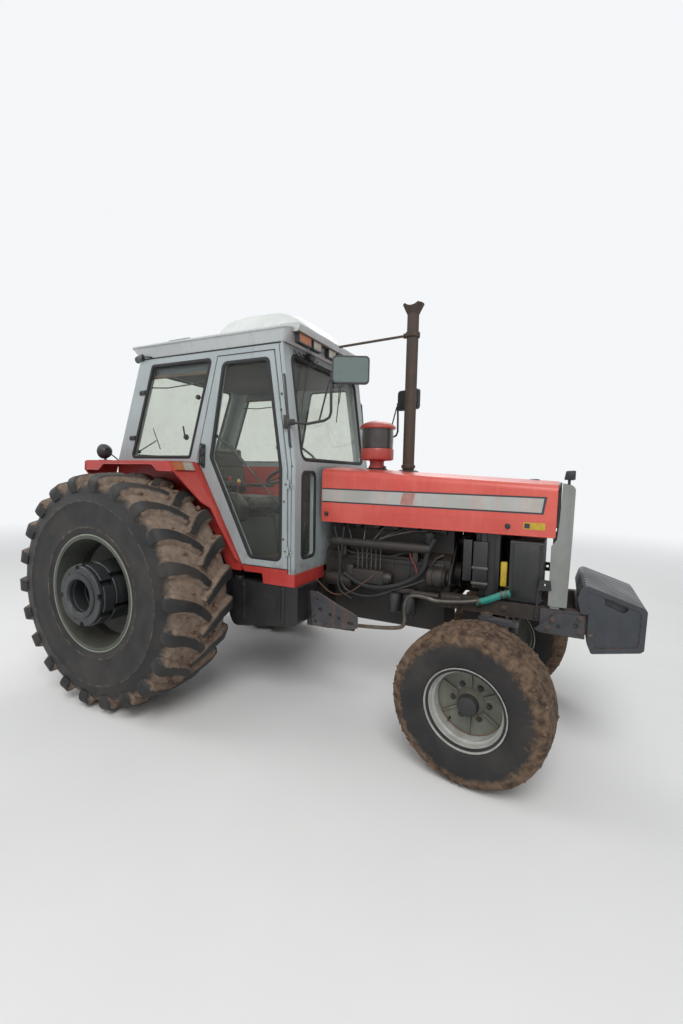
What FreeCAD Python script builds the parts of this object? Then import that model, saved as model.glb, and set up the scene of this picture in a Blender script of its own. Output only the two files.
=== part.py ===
import FreeCAD, Part
import math
import os
import Sketcher

# Driving sizes in millimetres and degrees
# A name ending in _x, _y or _z is a place: forward of the rear axle, out from the middle, above the ground
# A pair ("name", distance) is a place that keeps its distance from the size of that name
sizes = {
    # wheels
    "wheelbase": 2513,
    "rear_tyre_radius": 837,
    "rear_tyre_width": 560,
    "rear_carcass_radius": 797,
    "rear_track_y": 963,
    "rear_lugs": 22,
    "rear_lug_reach": 36,
    "rear_rim_radius": 406,
    "rear_rim_half": 260,
    "rear_rim_well": 62,
    "rear_disc_y": 1000,
    "front_tyre_radius": 441,
    "front_tyre_width": 326,
    "front_track_y": 680,
    "front_rim_radius": 228,
    "front_rim_half": 140,
    "front_rim_well": 40,
    "hub_radius": 62,
    "rim_wall": 7,
    "bead_gap": 0.3,
    "weight_disc_radius": 215,
    "weight_disc_bore": 112,
    "weight_disc_out_y": 1312,
    # steering
    "steer_rest": -7,
    "kingpin_y": 452,
    "kingpin_radius": 24,
    "kingpin_top_z": 838,
    "sleeve_wall": 17,
    "steer_arm": 160,
    "beam_half": 42,
    "stub_radius": 30,
    "running_gap": 0.6,
    # power train
    "case_half": 205,
    "case_top_z": 1180,
    "case_floor_z": 560,
    "trumpet_radius": 105,
    "trumpet_end_y": 800,
    "engine_back_x": 1310,
    "engine_front_x": ("wheelbase", -273),
    "engine_half": 235,
    "engine_top_z": 1500,
    "sump_z": 620,
    # front frame
    "rail_back_x": ("engine_front_x", -40),
    "rail_front_x": ("wheelbase", 477),
    "rail_y": 245,
    "rail_wide": 48,
    "rail_top_z": 931,
    "rail_deep": 92,
    "radiator_x": ("engine_front_x", 200),
    "radiator_deep": 110,
    "battery_back_x": ("wheelbase", 99),
    "battery_front_x": ("battery_back_x", 188),
    # front weights
    "suitcases": 8,
    "suitcase_pitch": 82,
    "suitcase_gap": 4,
    "weights_front_x": ("rail_front_x", 342),
    # bonnet
    "hood_back_x": 1306,
    "hood_front_x": ("wheelbase", 345),
    "hood_half": 322,
    "hood_back_z": 1738,
    "hood_front_z": 1664,
    "hood_crown": 16,
    "hood_foot_z": 1350,
    "hood_crease_z": 1446,
    "hood_sheet": 6,
    "hood_round": 46,
    "spine_half": 138,
    "panel_gap": 6,
    "nose_front_x": ("hood_front_x", 94),
    "nose_back_x": ("hood_front_x", -20),
    "nose_foot_z": 946,
    # cab
    "cab_half": 620,
    "cab_wall": 45,
    "cab_floor_z": 1012,
    "cab_deck_z": ("cab_floor_z", 298),
    "cab_plate": 30,
    "cab_front_x": 1264,
    "belt_front_x": 1260,
    "belt_z": 1757,
    "cab_head_z": 2572,
    "head_front_x": 1146,
    "belt_back_x": -480,
    "head_back_x": -190,
    "column_tilt": 28,
    "steering_wheel_x": 820,
    "steering_wheel_z": 1700,
    "door_gap": 8,
    "door_top_z": ("cab_head_z", -54),
    "door_foot_z": ("cab_floor_z", 22),
    "door_top_front_x": 1082,
    "door_belt_front_x": 1200,
    "door_foot_front_x": 1210,
    "door_foot_back_x": 822,
    "door_belt_back_x": 400,
    "door_top_back_x": 600,
    "door_thick": 38,
    "hinge_x": ("door_foot_front_x", 6),
    "glass_thick": 6,
    "seat_gap": 0.3,
    "roof_foot_z": ("cab_head_z", 0),
    "roof_rim_z": ("roof_foot_z", 83),
    "roof_top_z": ("roof_rim_z", 45),
    "roof_half": 652,
    "visor_front_x": 1264,
    "dome_top_z": ("roof_top_z", 185),
    "mirror_wide": 230,
    "mirror_turn": 25.5,
    # fenders
    "fender_y": 880,
    "fender_sheet": 8,
    "fender_top_z": 1763,
    "fender_lip": 72,
    "fender_back_x": -534,
    # stacks
    "exhaust_x": 1850,
    "exhaust_radius": 42,
    "exhaust_top_z": 2913,
    "cleaner_x": 1602,
    "cleaner_radius": 120,
    "cleaner_top_z": ("hood_back_z", 363),
    # linkage and hitch
    "link_pin_x": -150,
    "link_pin_z": 520,
    "link_pin_y": 250,
    "link_reach": 1080,
    "link_eye_y": 435,
    "link_eye_bore": 28.7,
    "lift_arm_y": 302,
    "rocker_x": -190,
    "rocker_z": 1130,
    "lift_arm": 300,
    "top_link_z": 900,
    "top_link_bore": 25.5,
    "drawbar_reach": 960,
    "drawbar_z": 430,
    "drawbar_bore": 33,
    "pto_radius": 17.5,
    "pto_z": 640,
}

doc = FreeCAD.newDocument("tractor")
sheet = doc.addObject("Spreadsheet::Sheet", "Sizes")
for row, name in enumerate(sizes, start=1):
    sheet.set("A%d" % row, name)
    given = sizes[name]
    sheet.set("B%d" % row, "=%s + (%s)" % given if isinstance(given, tuple) else str(given))
    sheet.setAlias("B%d" % row, name)
doc.recompute()


def size_number(name):
    given = sizes[name]
    if isinstance(given, tuple):
        return size_number(given[0]) + given[1]
    return float(given)


# A size keeps its number beside the sheet expression that it comes from
class Size:
    def __init__(self, number, text):
        self.number = float(number)
        self.text = text

    def __add__(self, other):
        return joined(self, "+", other, self.number + number_of(other))

    def __radd__(self, other):
        return joined(other, "+", self, number_of(other) + self.number)

    def __sub__(self, other):
        return joined(self, "-", other, self.number - number_of(other))

    def __rsub__(self, other):
        return joined(other, "-", self, number_of(other) - self.number)

    def __mul__(self, other):
        return joined(self, "*", other, self.number * number_of(other))

    def __rmul__(self, other):
        return joined(other, "*", self, number_of(other) * self.number)

    def __truediv__(self, other):
        return joined(self, "/", other, self.number / number_of(other))

    def __neg__(self):
        return Size(-self.number, "(0 - %s)" % self.text)


def number_of(value):
    return value.number if isinstance(value, Size) else float(value)


def text_of(value):
    return value.text if isinstance(value, Size) else "(%r)" % float(value)


def joined(first, sign, second, number):
    return Size(number, "(%s %s %s)" % (text_of(first), sign, text_of(second)))


def sine(angle):
    return Size(math.sin(math.radians(number_of(angle))), "sin(%s)" % text_of(angle))


def cosine(angle):
    return Size(math.cos(math.radians(number_of(angle))), "cos(%s)" % text_of(angle))


def bind(item, prop, value):
    if isinstance(value, Size):
        item.setExpression(prop, value.text)


class Named:
    def __getattr__(self, name):
        return Size(size_number(name), "Sizes." + name)


s = Named()
pieces = {}

# The origin lies under the middle of the whole tractor, so the rear axle stands behind it
axle_x = (s.link_reach - s.weights_front_x) / 2


def place(item, x=0.0, y=0.0, z=0.0, turn=None, about=(0, 0, 1)):
    item.Placement.Base = FreeCAD.Vector(number_of(axle_x + x), number_of(y), number_of(z))
    if turn is not None:
        item.Placement.Rotation = FreeCAD.Rotation(FreeCAD.Vector(*about), number_of(turn))
    for prop, value in (("x", axle_x + x), ("y", y), ("z", z)):
        bind(item, "Placement.Base." + prop, value)
    if isinstance(turn, Size):
        bind(item, "Placement.Rotation.Angle", turn)


def new_body(label, x=0.0, y=0.0, z=0.0, turn=None, about=(0, 0, 1)):
    body = doc.addObject("PartDesign::Body", label)
    body.Label = label
    body.AllowCompound = True
    place(body, x, y, z, turn, about)
    pieces[label] = body
    return body


def new_shape(label, shape, x, y, z, turn=None):
    item = doc.addObject("Part::Feature", label)
    item.Label = label
    item.Shape = shape
    place(item, x, y, z, turn)
    pieces[label] = item
    return item


def mirrored(label, source):
    copy = doc.addObject("Part::Mirroring", label)
    copy.Label = label
    copy.Source = source
    copy.Normal = FreeCAD.Vector(0, 1, 0)
    pieces[label] = copy
    return copy


def origin_plane(body, plane):
    for feature in body.Origin.OriginFeatures:
        if feature.Role == plane + "_Plane":
            return feature
    raise ValueError(plane)


# An outline is a list of corners (u, v) or (u, v, radius), or one circle ("circle", u, v, radius)
def add_outline(sketch, outline):
    if outline[0] == "circle":
        add_circle(sketch, outline)
        return
    corners = [tuple(corner) + (0,) * (3 - len(corner)) for corner in outline]
    at = [FreeCAD.Vector(number_of(u), number_of(v), 0) for u, v, r in corners]
    count = len(corners)
    leave = []
    arrive = []
    arcs = []
    for index, (u, v, r) in enumerate(corners):
        here = at[index]
        back = (at[index - 1] - here).normalize()
        ahead = (at[(index + 1) % count] - here).normalize()
        radius = number_of(r)
        if radius == 0:
            arrive.append(here)
            leave.append(here)
            arcs.append(None)
            continue
        half = back.getAngle(ahead) / 2
        reach = radius / math.tan(half)
        middle = (back + ahead).normalize() * (radius / math.sin(half)) + here
        start = here + back * reach
        end = here + ahead * reach
        arrive.append(start)
        leave.append(end)
        arcs.append((middle, start, end, radius))
    lines = []
    for index in range(count):
        segment = Part.LineSegment(leave[index], arrive[(index + 1) % count])
        lines.append(sketch.addGeometry(segment, False))
    for index, (u, v, r) in enumerate(corners):
        before = lines[index - 1]
        after = lines[index]
        if arcs[index] is None:
            sketch.addConstraint(Sketcher.Constraint("Coincident", before, 2, after, 1))
            fix_point(sketch, after, 1, u, v)
            continue
        middle, start, end, radius = arcs[index]
        turn = (start - middle).cross(end - middle).z
        first = math.atan2(start.y - middle.y, start.x - middle.x)
        last = math.atan2(end.y - middle.y, end.x - middle.x)
        circle = Part.Circle(middle, FreeCAD.Vector(0, 0, 1), radius)
        if turn > 0:
            arc = sketch.addGeometry(Part.ArcOfCircle(circle, first, last), False)
            ends = (1, 2)
        else:
            arc = sketch.addGeometry(Part.ArcOfCircle(circle, last, first), False)
            ends = (2, 1)
        corner = sketch.addGeometry(Part.Point(at[index]), True)
        sketch.addConstraint(Sketcher.Constraint("Tangent", before, 2, arc, ends[0]))
        sketch.addConstraint(Sketcher.Constraint("Tangent", after, 1, arc, ends[1]))
        sketch.addConstraint(Sketcher.Constraint("PointOnObject", corner, 1, before))
        sketch.addConstraint(Sketcher.Constraint("PointOnObject", corner, 1, after))
        fix_point(sketch, corner, 1, u, v)
        fix_number(sketch, "Radius", (arc,), r)


def add_circle(sketch, outline):
    word, u, v, r = outline
    middle = FreeCAD.Vector(number_of(u), number_of(v), 0)
    ring = sketch.addGeometry(Part.Circle(middle, FreeCAD.Vector(0, 0, 1), number_of(r)), False)
    fix_point(sketch, ring, 3, u, v)
    fix_number(sketch, "Radius", (ring,), r)


def fix_point(sketch, item, point, u, v):
    fix_number(sketch, "DistanceX", (-1, 1, item, point), u)
    fix_number(sketch, "DistanceY", (-1, 1, item, point), v)


def fix_number(sketch, kind, target, value):
    index = sketch.addConstraint(Sketcher.Constraint(kind, *target, number_of(value)))
    bind(sketch, "Constraints[%d]" % index, value)


# Planes: "XY" looks down, "XZ" is the side view, "YZ" the view along the tractor
def new_sketch(body, plane, level, outlines, rise=0):
    sketch = body.newObject("Sketcher::SketchObject", body.Name + "_sketch")
    sketch.AttachmentSupport = [(origin_plane(body, plane), "")]
    sketch.MapMode = "FlatFace"
    height = -level if plane == "XZ" else level
    sketch.AttachmentOffset.Base = FreeCAD.Vector(0, number_of(rise), number_of(height))
    bind(sketch, "AttachmentOffset.Base.y", Size(number_of(rise), text_of(rise)))
    bind(sketch, "AttachmentOffset.Base.z", Size(number_of(height), text_of(height)))
    for outline in outlines:
        add_outline(sketch, outline)
    return sketch


def pad(body, plane, low, high, *outlines):
    sketch = new_sketch(body, plane, high if plane == "XZ" else low, outlines)
    feature = body.newObject("PartDesign::Pad", body.Name + "_pad")
    feature.Profile = sketch
    feature.Length = number_of(high - low)
    bind(feature, "Length", high - low)
    return feature


def pocket(body, plane, low, high, *outlines):
    sketch = new_sketch(body, plane, low if plane == "XZ" else high, outlines)
    feature = body.newObject("PartDesign::Pocket", body.Name + "_pocket")
    feature.Profile = sketch
    feature.Length = number_of(high - low)
    bind(feature, "Length", high - low)
    return feature


def loft(body, plane, *levels):
    sketches = [new_sketch(body, plane, level, [outline]) for level, outline in levels]
    feature = body.newObject("PartDesign::AdditiveLoft", body.Name + "_loft")
    feature.Profile = sketches[0]
    feature.Sections = sketches[1:]
    feature.Ruled = True
    return feature


# Outlines on "YZ" turn about the y axis, outlines on "XZ" about the z axis
def turned(body, plane, *outlines, rise=0):
    sketch = new_sketch(body, plane, 0, outlines, rise)
    feature = body.newObject("PartDesign::Revolution", body.Name + "_turn")
    feature.Profile = sketch
    feature.ReferenceAxis = (sketch, ["H_Axis" if plane == "YZ" else "V_Axis"])
    feature.Angle = 360
    return feature


def grooved(body, plane, *outlines):
    sketch = new_sketch(body, plane, 0, outlines)
    feature = body.newObject("PartDesign::Groove", body.Name + "_groove")
    feature.Profile = sketch
    feature.ReferenceAxis = (sketch, ["H_Axis" if plane == "YZ" else "V_Axis"])
    feature.Angle = 360
    return feature


def repeated(body, feature, count):
    pattern = body.newObject("PartDesign::PolarPattern", body.Name + "_ring")
    pattern.Originals = [feature]
    pattern.Axis = (axis_of(body, "Y"), [""])
    pattern.Angle = 360
    pattern.Occurrences = int(number_of(count))
    bind(pattern, "Occurrences", count)
    body.Tip = pattern
    return pattern


def axis_of(body, name):
    for feature in body.Origin.OriginFeatures:
        if feature.Role == name + "_Axis":
            return feature
    raise ValueError(name)


def box(u0, u1, v0, v1, r=0):
    return [(u0, v0, r), (u1, v0, r), (u1, v1, r), (u0, v1, r)]


# Tyres are rings of flat facets, so that the lugs fuse onto plain faces: two facets to each pair of lugs
def round_point(share, y, radius):
    angle = 2 * math.pi * share
    return FreeCAD.Vector(-radius * math.sin(angle), y, -radius * math.cos(angle))


def flat_solid(faces):
    shell = Part.makeShell([Part.Face(Part.makePolygon(corners + [corners[0]])) for corners in faces])
    shell.sewShape()
    solid = Part.makeSolid(shell)
    if solid.Volume < 0:
        solid.reverse()
    return solid


def tyre_ring(outline, count):
    corners = [(number_of(y), number_of(radius)) for y, radius in outline]
    faces = []
    for step in range(count):
        for index, near in enumerate(corners):
            far = corners[index - 1]
            faces.append([
                round_point(step / count, *near), round_point((step + 1) / count, *near),
                round_point((step + 1) / count, *far), round_point(step / count, *far)])
    return flat_solid(faces)


def tyre_outline(half, top, rim, rim_half, well, shoulder, count):
    # the flats of the bore, not its corners, stand off from the rim's sloping seat
    slope = (well - 26) / (rim_half * 0.58 - s.rim_wall)
    seat = rim - 26 + s.rim_wall + s.bead_gap - slope * 7
    bead = rim_half - s.rim_wall - 7
    right = [(bead, seat / math.cos(math.pi / count)), (half, (top + rim) * 0.5),
             (half * 0.88, top - shoulder)]
    return right + [(0, top)] + [(-y, radius) for y, radius in reversed(right)]


def rear_tyre():
    count = int(2 * size_number("rear_lugs"))
    half = s.rear_tyre_width / 2
    outline = tyre_outline(half, s.rear_carcass_radius, s.rear_rim_radius, s.rear_rim_half,
                           s.rear_rim_well, 34, count)
    lugs = []
    for step in range(count):
        lugs.append(rear_lug(step / count, 1 if step % 2 else -1))
    tyre = tyre_ring(outline, count).fuse(lugs).removeSplitter()
    item = new_shape("rear_tyre_right", tyre, 0, -s.rear_track_y, s.rear_tyre_radius)
    mirrored("rear_tyre_left", item)


# One bent lug, three stations of four corners: two at its top and two inside the carcass
# its outer end trails, so at the top of the tyre it lies behind the inner end
def rear_lug(share, side):
    half = size_number("rear_tyre_width") / 2
    radius = size_number("rear_tyre_radius")
    wide = size_number("rear_lug_reach") / 2
    turn = 2 * math.pi * radius
    # every station goes down in one direction, so that the lug's sides are flat
    down = round_point(share - 80 / turn, 0, -1)
    stations = []
    # columns: share of the half width, distance back round the tyre, share of the lug's half width,
    # depth of the top below the tyre's radius, height
    for across, back, share_wide, top, high in (
            (-0.06, 0, 1.0, 1, 70), (0.55, 112, 1.05, 3, 74), (0.98, 160, 1.4, 36, 180)):
        head = [round_point(share - (back + end * wide * share_wide) / turn, side * half * across,
                            radius - top) for end in (-1, 1)]
        stations.append([head[0], head[1], head[1] + down * high, head[0] + down * high])
    faces = [stations[0], stations[-1]]
    for near, far in zip(stations, stations[1:]):
        for index in (0, 2):
            faces.append([near[index - 1], near[index], far[index], far[index - 1]])
        # the top and the foot twist, so each is two triangles
        for index in (1, 3):
            faces.append([near[index - 1], near[index], far[index]])
            faces.append([near[index - 1], far[index], far[index - 1]])
    return flat_solid(faces)


# Rear wheel: rim, dished disc and the shaft that turns in the axle housing, facing out to the right
def rear_wheel():
    wall = s.rim_wall
    radius = s.rear_rim_radius
    half = s.rear_rim_half
    disc = s.rear_track_y - s.rear_disc_y
    body = new_body("rear_rim_right", 0, -s.rear_track_y, s.rear_tyre_radius)
    turned(body, "YZ", rim_outline(half, radius, wall, s.rear_rim_well))
    turned(body, "YZ", [
        (disc - 8, radius - s.rear_rim_well),
        (disc + 10, radius - s.rear_rim_well),
        (disc + 60, 250),
        (disc + 60, 60),
        (s.rear_track_y - s.trumpet_end_y + 60, 60),
        (s.rear_track_y - s.trumpet_end_y + 60, 0),
        (disc + 40, 0),
        (disc + 40, 240),
    ])
    mirrored("rear_rim_left", body)


def rim_outline(half, radius, wall, well):
    return [
        (-half, radius),
        (-half, radius - 26),
        (-half * 0.42, radius - well),
        (half * 0.42, radius - well),
        (half, radius - 26),
        (half, radius),
        (half - wall, radius),
        (half - wall, radius - 26 + wall),
        (half * 0.42, radius - well + wall),
        (-half * 0.42, radius - well + wall),
        (-half + wall, radius - 26 + wall),
        (-half + wall, radius),
    ]


def wheel_weights():
    inner = s.rear_disc_y - 40 + s.seat_gap
    body = new_body("wheel_weights_right", 0, 0, s.rear_tyre_radius)
    for low, high, extra in ((0.0, 0.32, 0), (0.34, 0.66, 0), (0.68, 1.0, -4)):
        span = s.weight_disc_out_y - inner
        turned(body, "YZ", [
            (-inner - span * low, s.weight_disc_bore),
            (-inner - span * low, s.weight_disc_radius + extra),
            (-inner - span * high, s.weight_disc_radius + extra),
            (-inner - span * high, s.weight_disc_bore),
        ])
    turned(body, "YZ", [
        (-inner, s.weight_disc_bore + 2),
        (-inner, s.weight_disc_radius - 14),
        (-s.weight_disc_out_y + 4, s.weight_disc_radius - 14),
        (-s.weight_disc_out_y + 4, s.weight_disc_bore + 2),
    ])
    notch = pocket(body, "YZ", -22, 22, box(-s.weight_disc_out_y - 1, -inner - 6,
                                            s.weight_disc_radius - 26, s.weight_disc_radius + 10))
    repeated(body, notch, 6)
    mirrored("wheel_weights_left", body)


# Front wheel group: rim and tyre turn on the stub of a knuckle that swings about its kingpin
def front_wheels():
    for side, word in ((-1, "right"), (1, "left")):
        offset = s.front_track_y - s.kingpin_y
        x = s.wheelbase - side * offset * sine(s.steer_rest)
        y = side * (s.kingpin_y + offset * cosine(s.steer_rest))
        rim = new_body("front_rim_" + word, x, y, s.front_tyre_radius, s.steer_rest)
        half = s.front_rim_half
        radius = s.front_rim_radius
        turned(rim, "YZ", rim_outline(half, radius, s.rim_wall, s.front_rim_well))
        turned(rim, "YZ", [
            (side * 10, radius - 36),
            (side * 22, radius - 36),
            (side * 4, 92),
            (side * 60, s.hub_radius),
            (side * 96, s.hub_radius - 8),
            (side * 96, 0),
            (side * 64, 0),
            (side * 64, s.stub_radius + s.running_gap),
            (side * -70, s.stub_radius + s.running_gap),
            (side * -70, s.hub_radius),
            (side * -10, s.hub_radius + 4),
            (side * -10, 92),
        ])
        rib = pad(rim, "YZ", -5, 5, [
            (side * 6, 84), (side * 26, 84), (side * 40, radius - 40), (side * 12, radius - 34)])
        repeated(rim, rib, 6)
        outline = tyre_outline(s.front_tyre_width / 2, s.front_tyre_radius, s.front_rim_radius,
                               s.front_rim_half, s.front_rim_well, 22, 36)
        tyre = tyre_ring(outline, 36)
        new_shape("front_tyre_" + word, tyre, x, y, s.front_tyre_radius, s.steer_rest)
        knuckle(side, word)


def knuckle(side, word):
    body = new_body("knuckle_" + word, s.wheelbase, side * s.kingpin_y, 0, s.steer_rest)
    axle_z = s.front_tyre_radius
    offset = s.front_track_y - s.kingpin_y
    pad(body, "XY", axle_z - 45, s.kingpin_top_z, ("circle", 0, 0, s.kingpin_radius))
    pad(body, "XY", axle_z - 46, axle_z + 58, ("circle", 0, 0, 46))
    ends = (20, offset + 58) if side > 0 else (-offset - 58, -20)
    pad(body, "XZ", ends[0], ends[1], ("circle", 0, axle_z, s.stub_radius))
    arm = [(-42, -34, 20), (-42, 34, 20), (20, 34, 12), (s.steer_arm + 24, 24, 20),
           (s.steer_arm + 24, -24, 20), (20, -34, 12)]
    pad(body, "XY", s.kingpin_top_z, s.kingpin_top_z + 26, arm)
    pad(body, "XY", s.kingpin_top_z + 26, s.kingpin_top_z + 46, ("circle", 0, 0, 34))
    bore = 12 + s.running_gap
    pocket(body, "XY", s.kingpin_top_z - 1, s.kingpin_top_z + 27, ("circle", s.steer_arm, 0, bore))


# Tie rod between the two steering arms, swung on the left one
def tie_rod():
    x = s.wheelbase + s.steer_arm * cosine(s.steer_rest)
    y = s.steer_arm * sine(s.steer_rest)
    body = new_body("tie_rod", x, y, 0)
    top = s.kingpin_top_z - 0.5
    pad(body, "XZ", -s.kingpin_y + 18, s.kingpin_y - 18, ("circle", 0, top - 19, 13))
    for side in (-1, 1):
        pad(body, "XY", top - 36, top, ("circle", 0, side * s.kingpin_y, 22))
        pad(body, "XY", top - 10, top + 24, ("circle", 0, side * s.kingpin_y, 12))


# Front axle beam with its pivot boss and the two kingpin sleeves
def front_axle():
    body = new_body("front_axle_beam", s.wheelbase, 0, 0)
    low = s.front_tyre_radius + 62
    high = s.kingpin_top_z - 2
    bore = s.kingpin_radius + s.running_gap
    reach = s.kingpin_y
    beam = [(-reach, high - 190), (-reach, high - 96), (-200, high - 92), (-120, high - 50),
            (120, high - 50), (200, high - 92), (reach, high - 96), (reach, high - 190),
            (150, high - 200), (-150, high - 200)]
    pad(body, "YZ", -s.beam_half, s.beam_half, beam)
    for side in (-1, 1):
        pad(body, "XY", low, high, ("circle", 0, side * reach, bore + s.sleeve_wall))
    for side in (-1, 1):
        pocket(body, "XY", low - 1, high + 1, ("circle", 0, side * reach, bore))
    pad(body, "YZ", -s.beam_half - 50, s.beam_half + 50, ("circle", 0, high - 120, 44))


# Transmission case with the axle trumpets, the drawbar hanger and the linkage bosses
def transaxle():
    body = new_body("transaxle_case")
    half = s.case_half
    pad(body, "XZ", -half, half, [
        (-260, s.case_floor_z + 20, 40), (-260, s.case_top_z - 60, 40), (-120, s.case_top_z, 30),
        (560, s.case_top_z - 20, 30), (640, s.cab_floor_z - 60), (s.engine_back_x, s.cab_floor_z - 60),
        (s.engine_back_x, s.sump_z + 20), (500, s.case_floor_z + 30), (200, s.case_floor_z)])
    bore = 60 + s.running_gap
    end = s.trumpet_end_y
    for side in (-1, 1):
        ends = min_side(side, 150, s.link_pin_y - 20)
        pad(body, "XZ", ends[0], ends[1], box(
            s.link_pin_x - 50, s.link_pin_x + 50, s.link_pin_z - 36, s.case_floor_z + 60, 16))
        ends = min_side(side, s.link_pin_y - 20, s.link_pin_y + 26)
        pad(body, "XZ", ends[0], ends[1], ("circle", s.link_pin_x, s.link_pin_z, 14))
        turned(body, "YZ", [
            (side * end, bore), (side * end, 150), (side * (end - 40), 150),
            (side * (end - 60), s.trumpet_radius), (side * 330, s.trumpet_radius + 40),
            (side * (half - 10), 190), (side * (half - 10), bore)], rise=s.rear_tyre_radius)


def engine():
    body = new_body("engine_block")
    half = s.engine_half
    back = s.engine_back_x
    front = s.engine_front_x
    pad(body, "YZ", back, front, [
        (-half, 900), (-half, s.cab_floor_z + 120), (-150, s.cab_floor_z + 160), (-150, s.engine_top_z),
        (150, s.engine_top_z), (150, s.cab_floor_z + 160), (half, s.cab_floor_z + 120), (half, 900)])
    pad(body, "YZ", back + 60, front - 40, [
        (-170, s.sump_z, 30), (-200, 900), (200, 900), (170, s.sump_z, 30)])
    pad(body, "YZ", front, front + 40, ("circle", 0, 1010, 92))
    pad(body, "YZ", front + 40, front + 90, ("circle", 0, 1250, 60))
    pad(body, "YZ", front, front + 40, ("circle", 0, 1250, 40))


def front_frame():
    body = new_body("front_frame")
    back = s.rail_back_x
    front = s.rail_front_x
    top = s.rail_top_z
    for side in (-1, 1):
        low = min_side(side, s.rail_y, s.rail_y + s.rail_wide)
        pad(body, "XZ", low[0], low[1], [
            (back, top - s.rail_deep), (front, top - s.rail_deep), (front, top), (back, top)])
    near = s.beam_half + 8
    far = s.beam_half + 46
    for low, high in ((-far, -near), (near, far)):
        pad(body, "XZ", -s.rail_y, s.rail_y, box(s.wheelbase + low, s.wheelbase + high, top - 271, top - 8, 8))
        pocket(body, "YZ", s.wheelbase + low - 1, s.wheelbase + high + 1,
               ("circle", 0, s.kingpin_top_z - 122, 44 + s.seat_gap))
    pad(body, "XZ", -s.rail_y, s.rail_y, box(s.wheelbase - far, s.wheelbase + far, top - 60, top - 8))
    plate = s.engine_front_x + 22
    pad(body, "YZ", s.engine_front_x, plate, box(-s.rail_y, s.rail_y, top - s.rail_deep, top - 21))


def min_side(side, inner, outer):
    return (inner, outer) if side > 0 else (-outer, -inner)


def weight_carrier():
    body = new_body("weight_carrier")
    front = s.rail_front_x
    top = s.rail_top_z
    out = s.rail_y + s.rail_wide
    for side in (-1, 1):
        low = min_side(side, out, out + 14)
        pad(body, "XZ", low[0], low[1], [
            (front - 190, top - 156), (front + 50, top - 156), (front + 50, top - 1), (front - 190, top - 6)])
    hook_x = s.weights_front_x - 282 - s.seat_gap
    pad(body, "XZ", -out, out, box(front, hook_x, top - 131, top - 1 - s.seat_gap))


def suitcase_weights():
    body = new_body("suitcase_weights")
    front = s.weights_front_x
    hook = s.rail_top_z - 1
    profile = [
        (front - 342, hook + 80), (front - 318, hook + 174, 12), (front - 14, hook + 73, 14),
        (front, hook + 55, 6), (front - 4, hook - 162, 10), (front - 22, hook - 178, 10),
        (front - 258, hook - 228, 12), (front - 282, hook - 170), (front - 282, hook), (front - 320, hook)]
    count = int(size_number("suitcases"))
    for index in range(count):
        start = (index - count / 2.0) * s.suitcase_pitch
        pad(body, "XZ", start + s.suitcase_gap / 2, start + s.suitcase_pitch - s.suitcase_gap / 2, profile)


def cooling():
    body = new_body("radiator")
    back = s.radiator_x
    pad(body, "YZ", back, back + s.radiator_deep, box(-270, 270, s.rail_top_z, 1560, 12))
    battery = new_body("battery_box")
    pad(battery, "YZ", s.battery_back_x, s.battery_front_x, box(-292, 292, s.rail_top_z, 1318, 20))


# Bonnet: a fixed spine under the stacks and two side panels that lift about its edges
def hood_section(x_share):
    top = s.hood_back_z + (s.hood_front_z - s.hood_back_z) * x_share
    inner = s.spine_half + s.panel_gap
    sheet_thick = s.hood_sheet
    half = s.hood_half
    rise = s.hood_crown
    return [
        (-inner, top + rise * 0.6), (-half + 4, top - rise * 0.4, s.hood_round), (-half, s.hood_crease_z),
        (-half + 10, s.hood_foot_z), (-half + 10 + sheet_thick, s.hood_foot_z),
        (-half + sheet_thick, s.hood_crease_z),
        (-half + 4 + sheet_thick, top - rise * 0.4 - sheet_thick, s.hood_round - sheet_thick),
        (-inner, top + rise * 0.6 - sheet_thick)]


def bonnet():
    panel = new_body("hood_panel_right")
    loft(panel, "YZ", (s.hood_back_x, hood_section(0)), (s.hood_front_x, hood_section(1)))
    mirrored("hood_panel_left", panel)
    spine = new_body("hood_spine")
    half = s.spine_half
    rise = s.hood_crown
    sections = []
    for x, top in ((s.hood_back_x, s.hood_back_z), (s.hood_front_x, s.hood_front_z)):
        edge = top + rise * 0.6
        ledge = edge - s.hood_sheet - s.seat_gap
        right = [(half, edge), (half, ledge), (half + 6, ledge), (half + 28, ledge - 2.4),
                 (half + 28, edge - 16), (half, edge - 16), (half, edge - 30)]
        left = [(-y, z) for y, z in reversed(right)]
        sections.append((x, [(0, top + rise)] + right + left))
    loft(spine, "YZ", *sections)
    # columns: back x, front x, foot height and head height of each post under the spine
    for back, front, foot, head in (
            (s.engine_back_x + 20, s.engine_back_x + 60, s.engine_top_z, s.hood_back_z - 18),
            (s.radiator_x + 20, s.radiator_x + 70, 1560, s.hood_front_z)):
        pad(spine, "XZ", -100, 100, box(back, front, foot + s.seat_gap, head))
    for x, radius in ((s.exhaust_x, s.exhaust_radius + 8), (s.cleaner_x, 58)):
        pocket(spine, "XY", s.hood_front_z - 60, s.hood_back_z + 80, ("circle", x, 0, radius))


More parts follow.
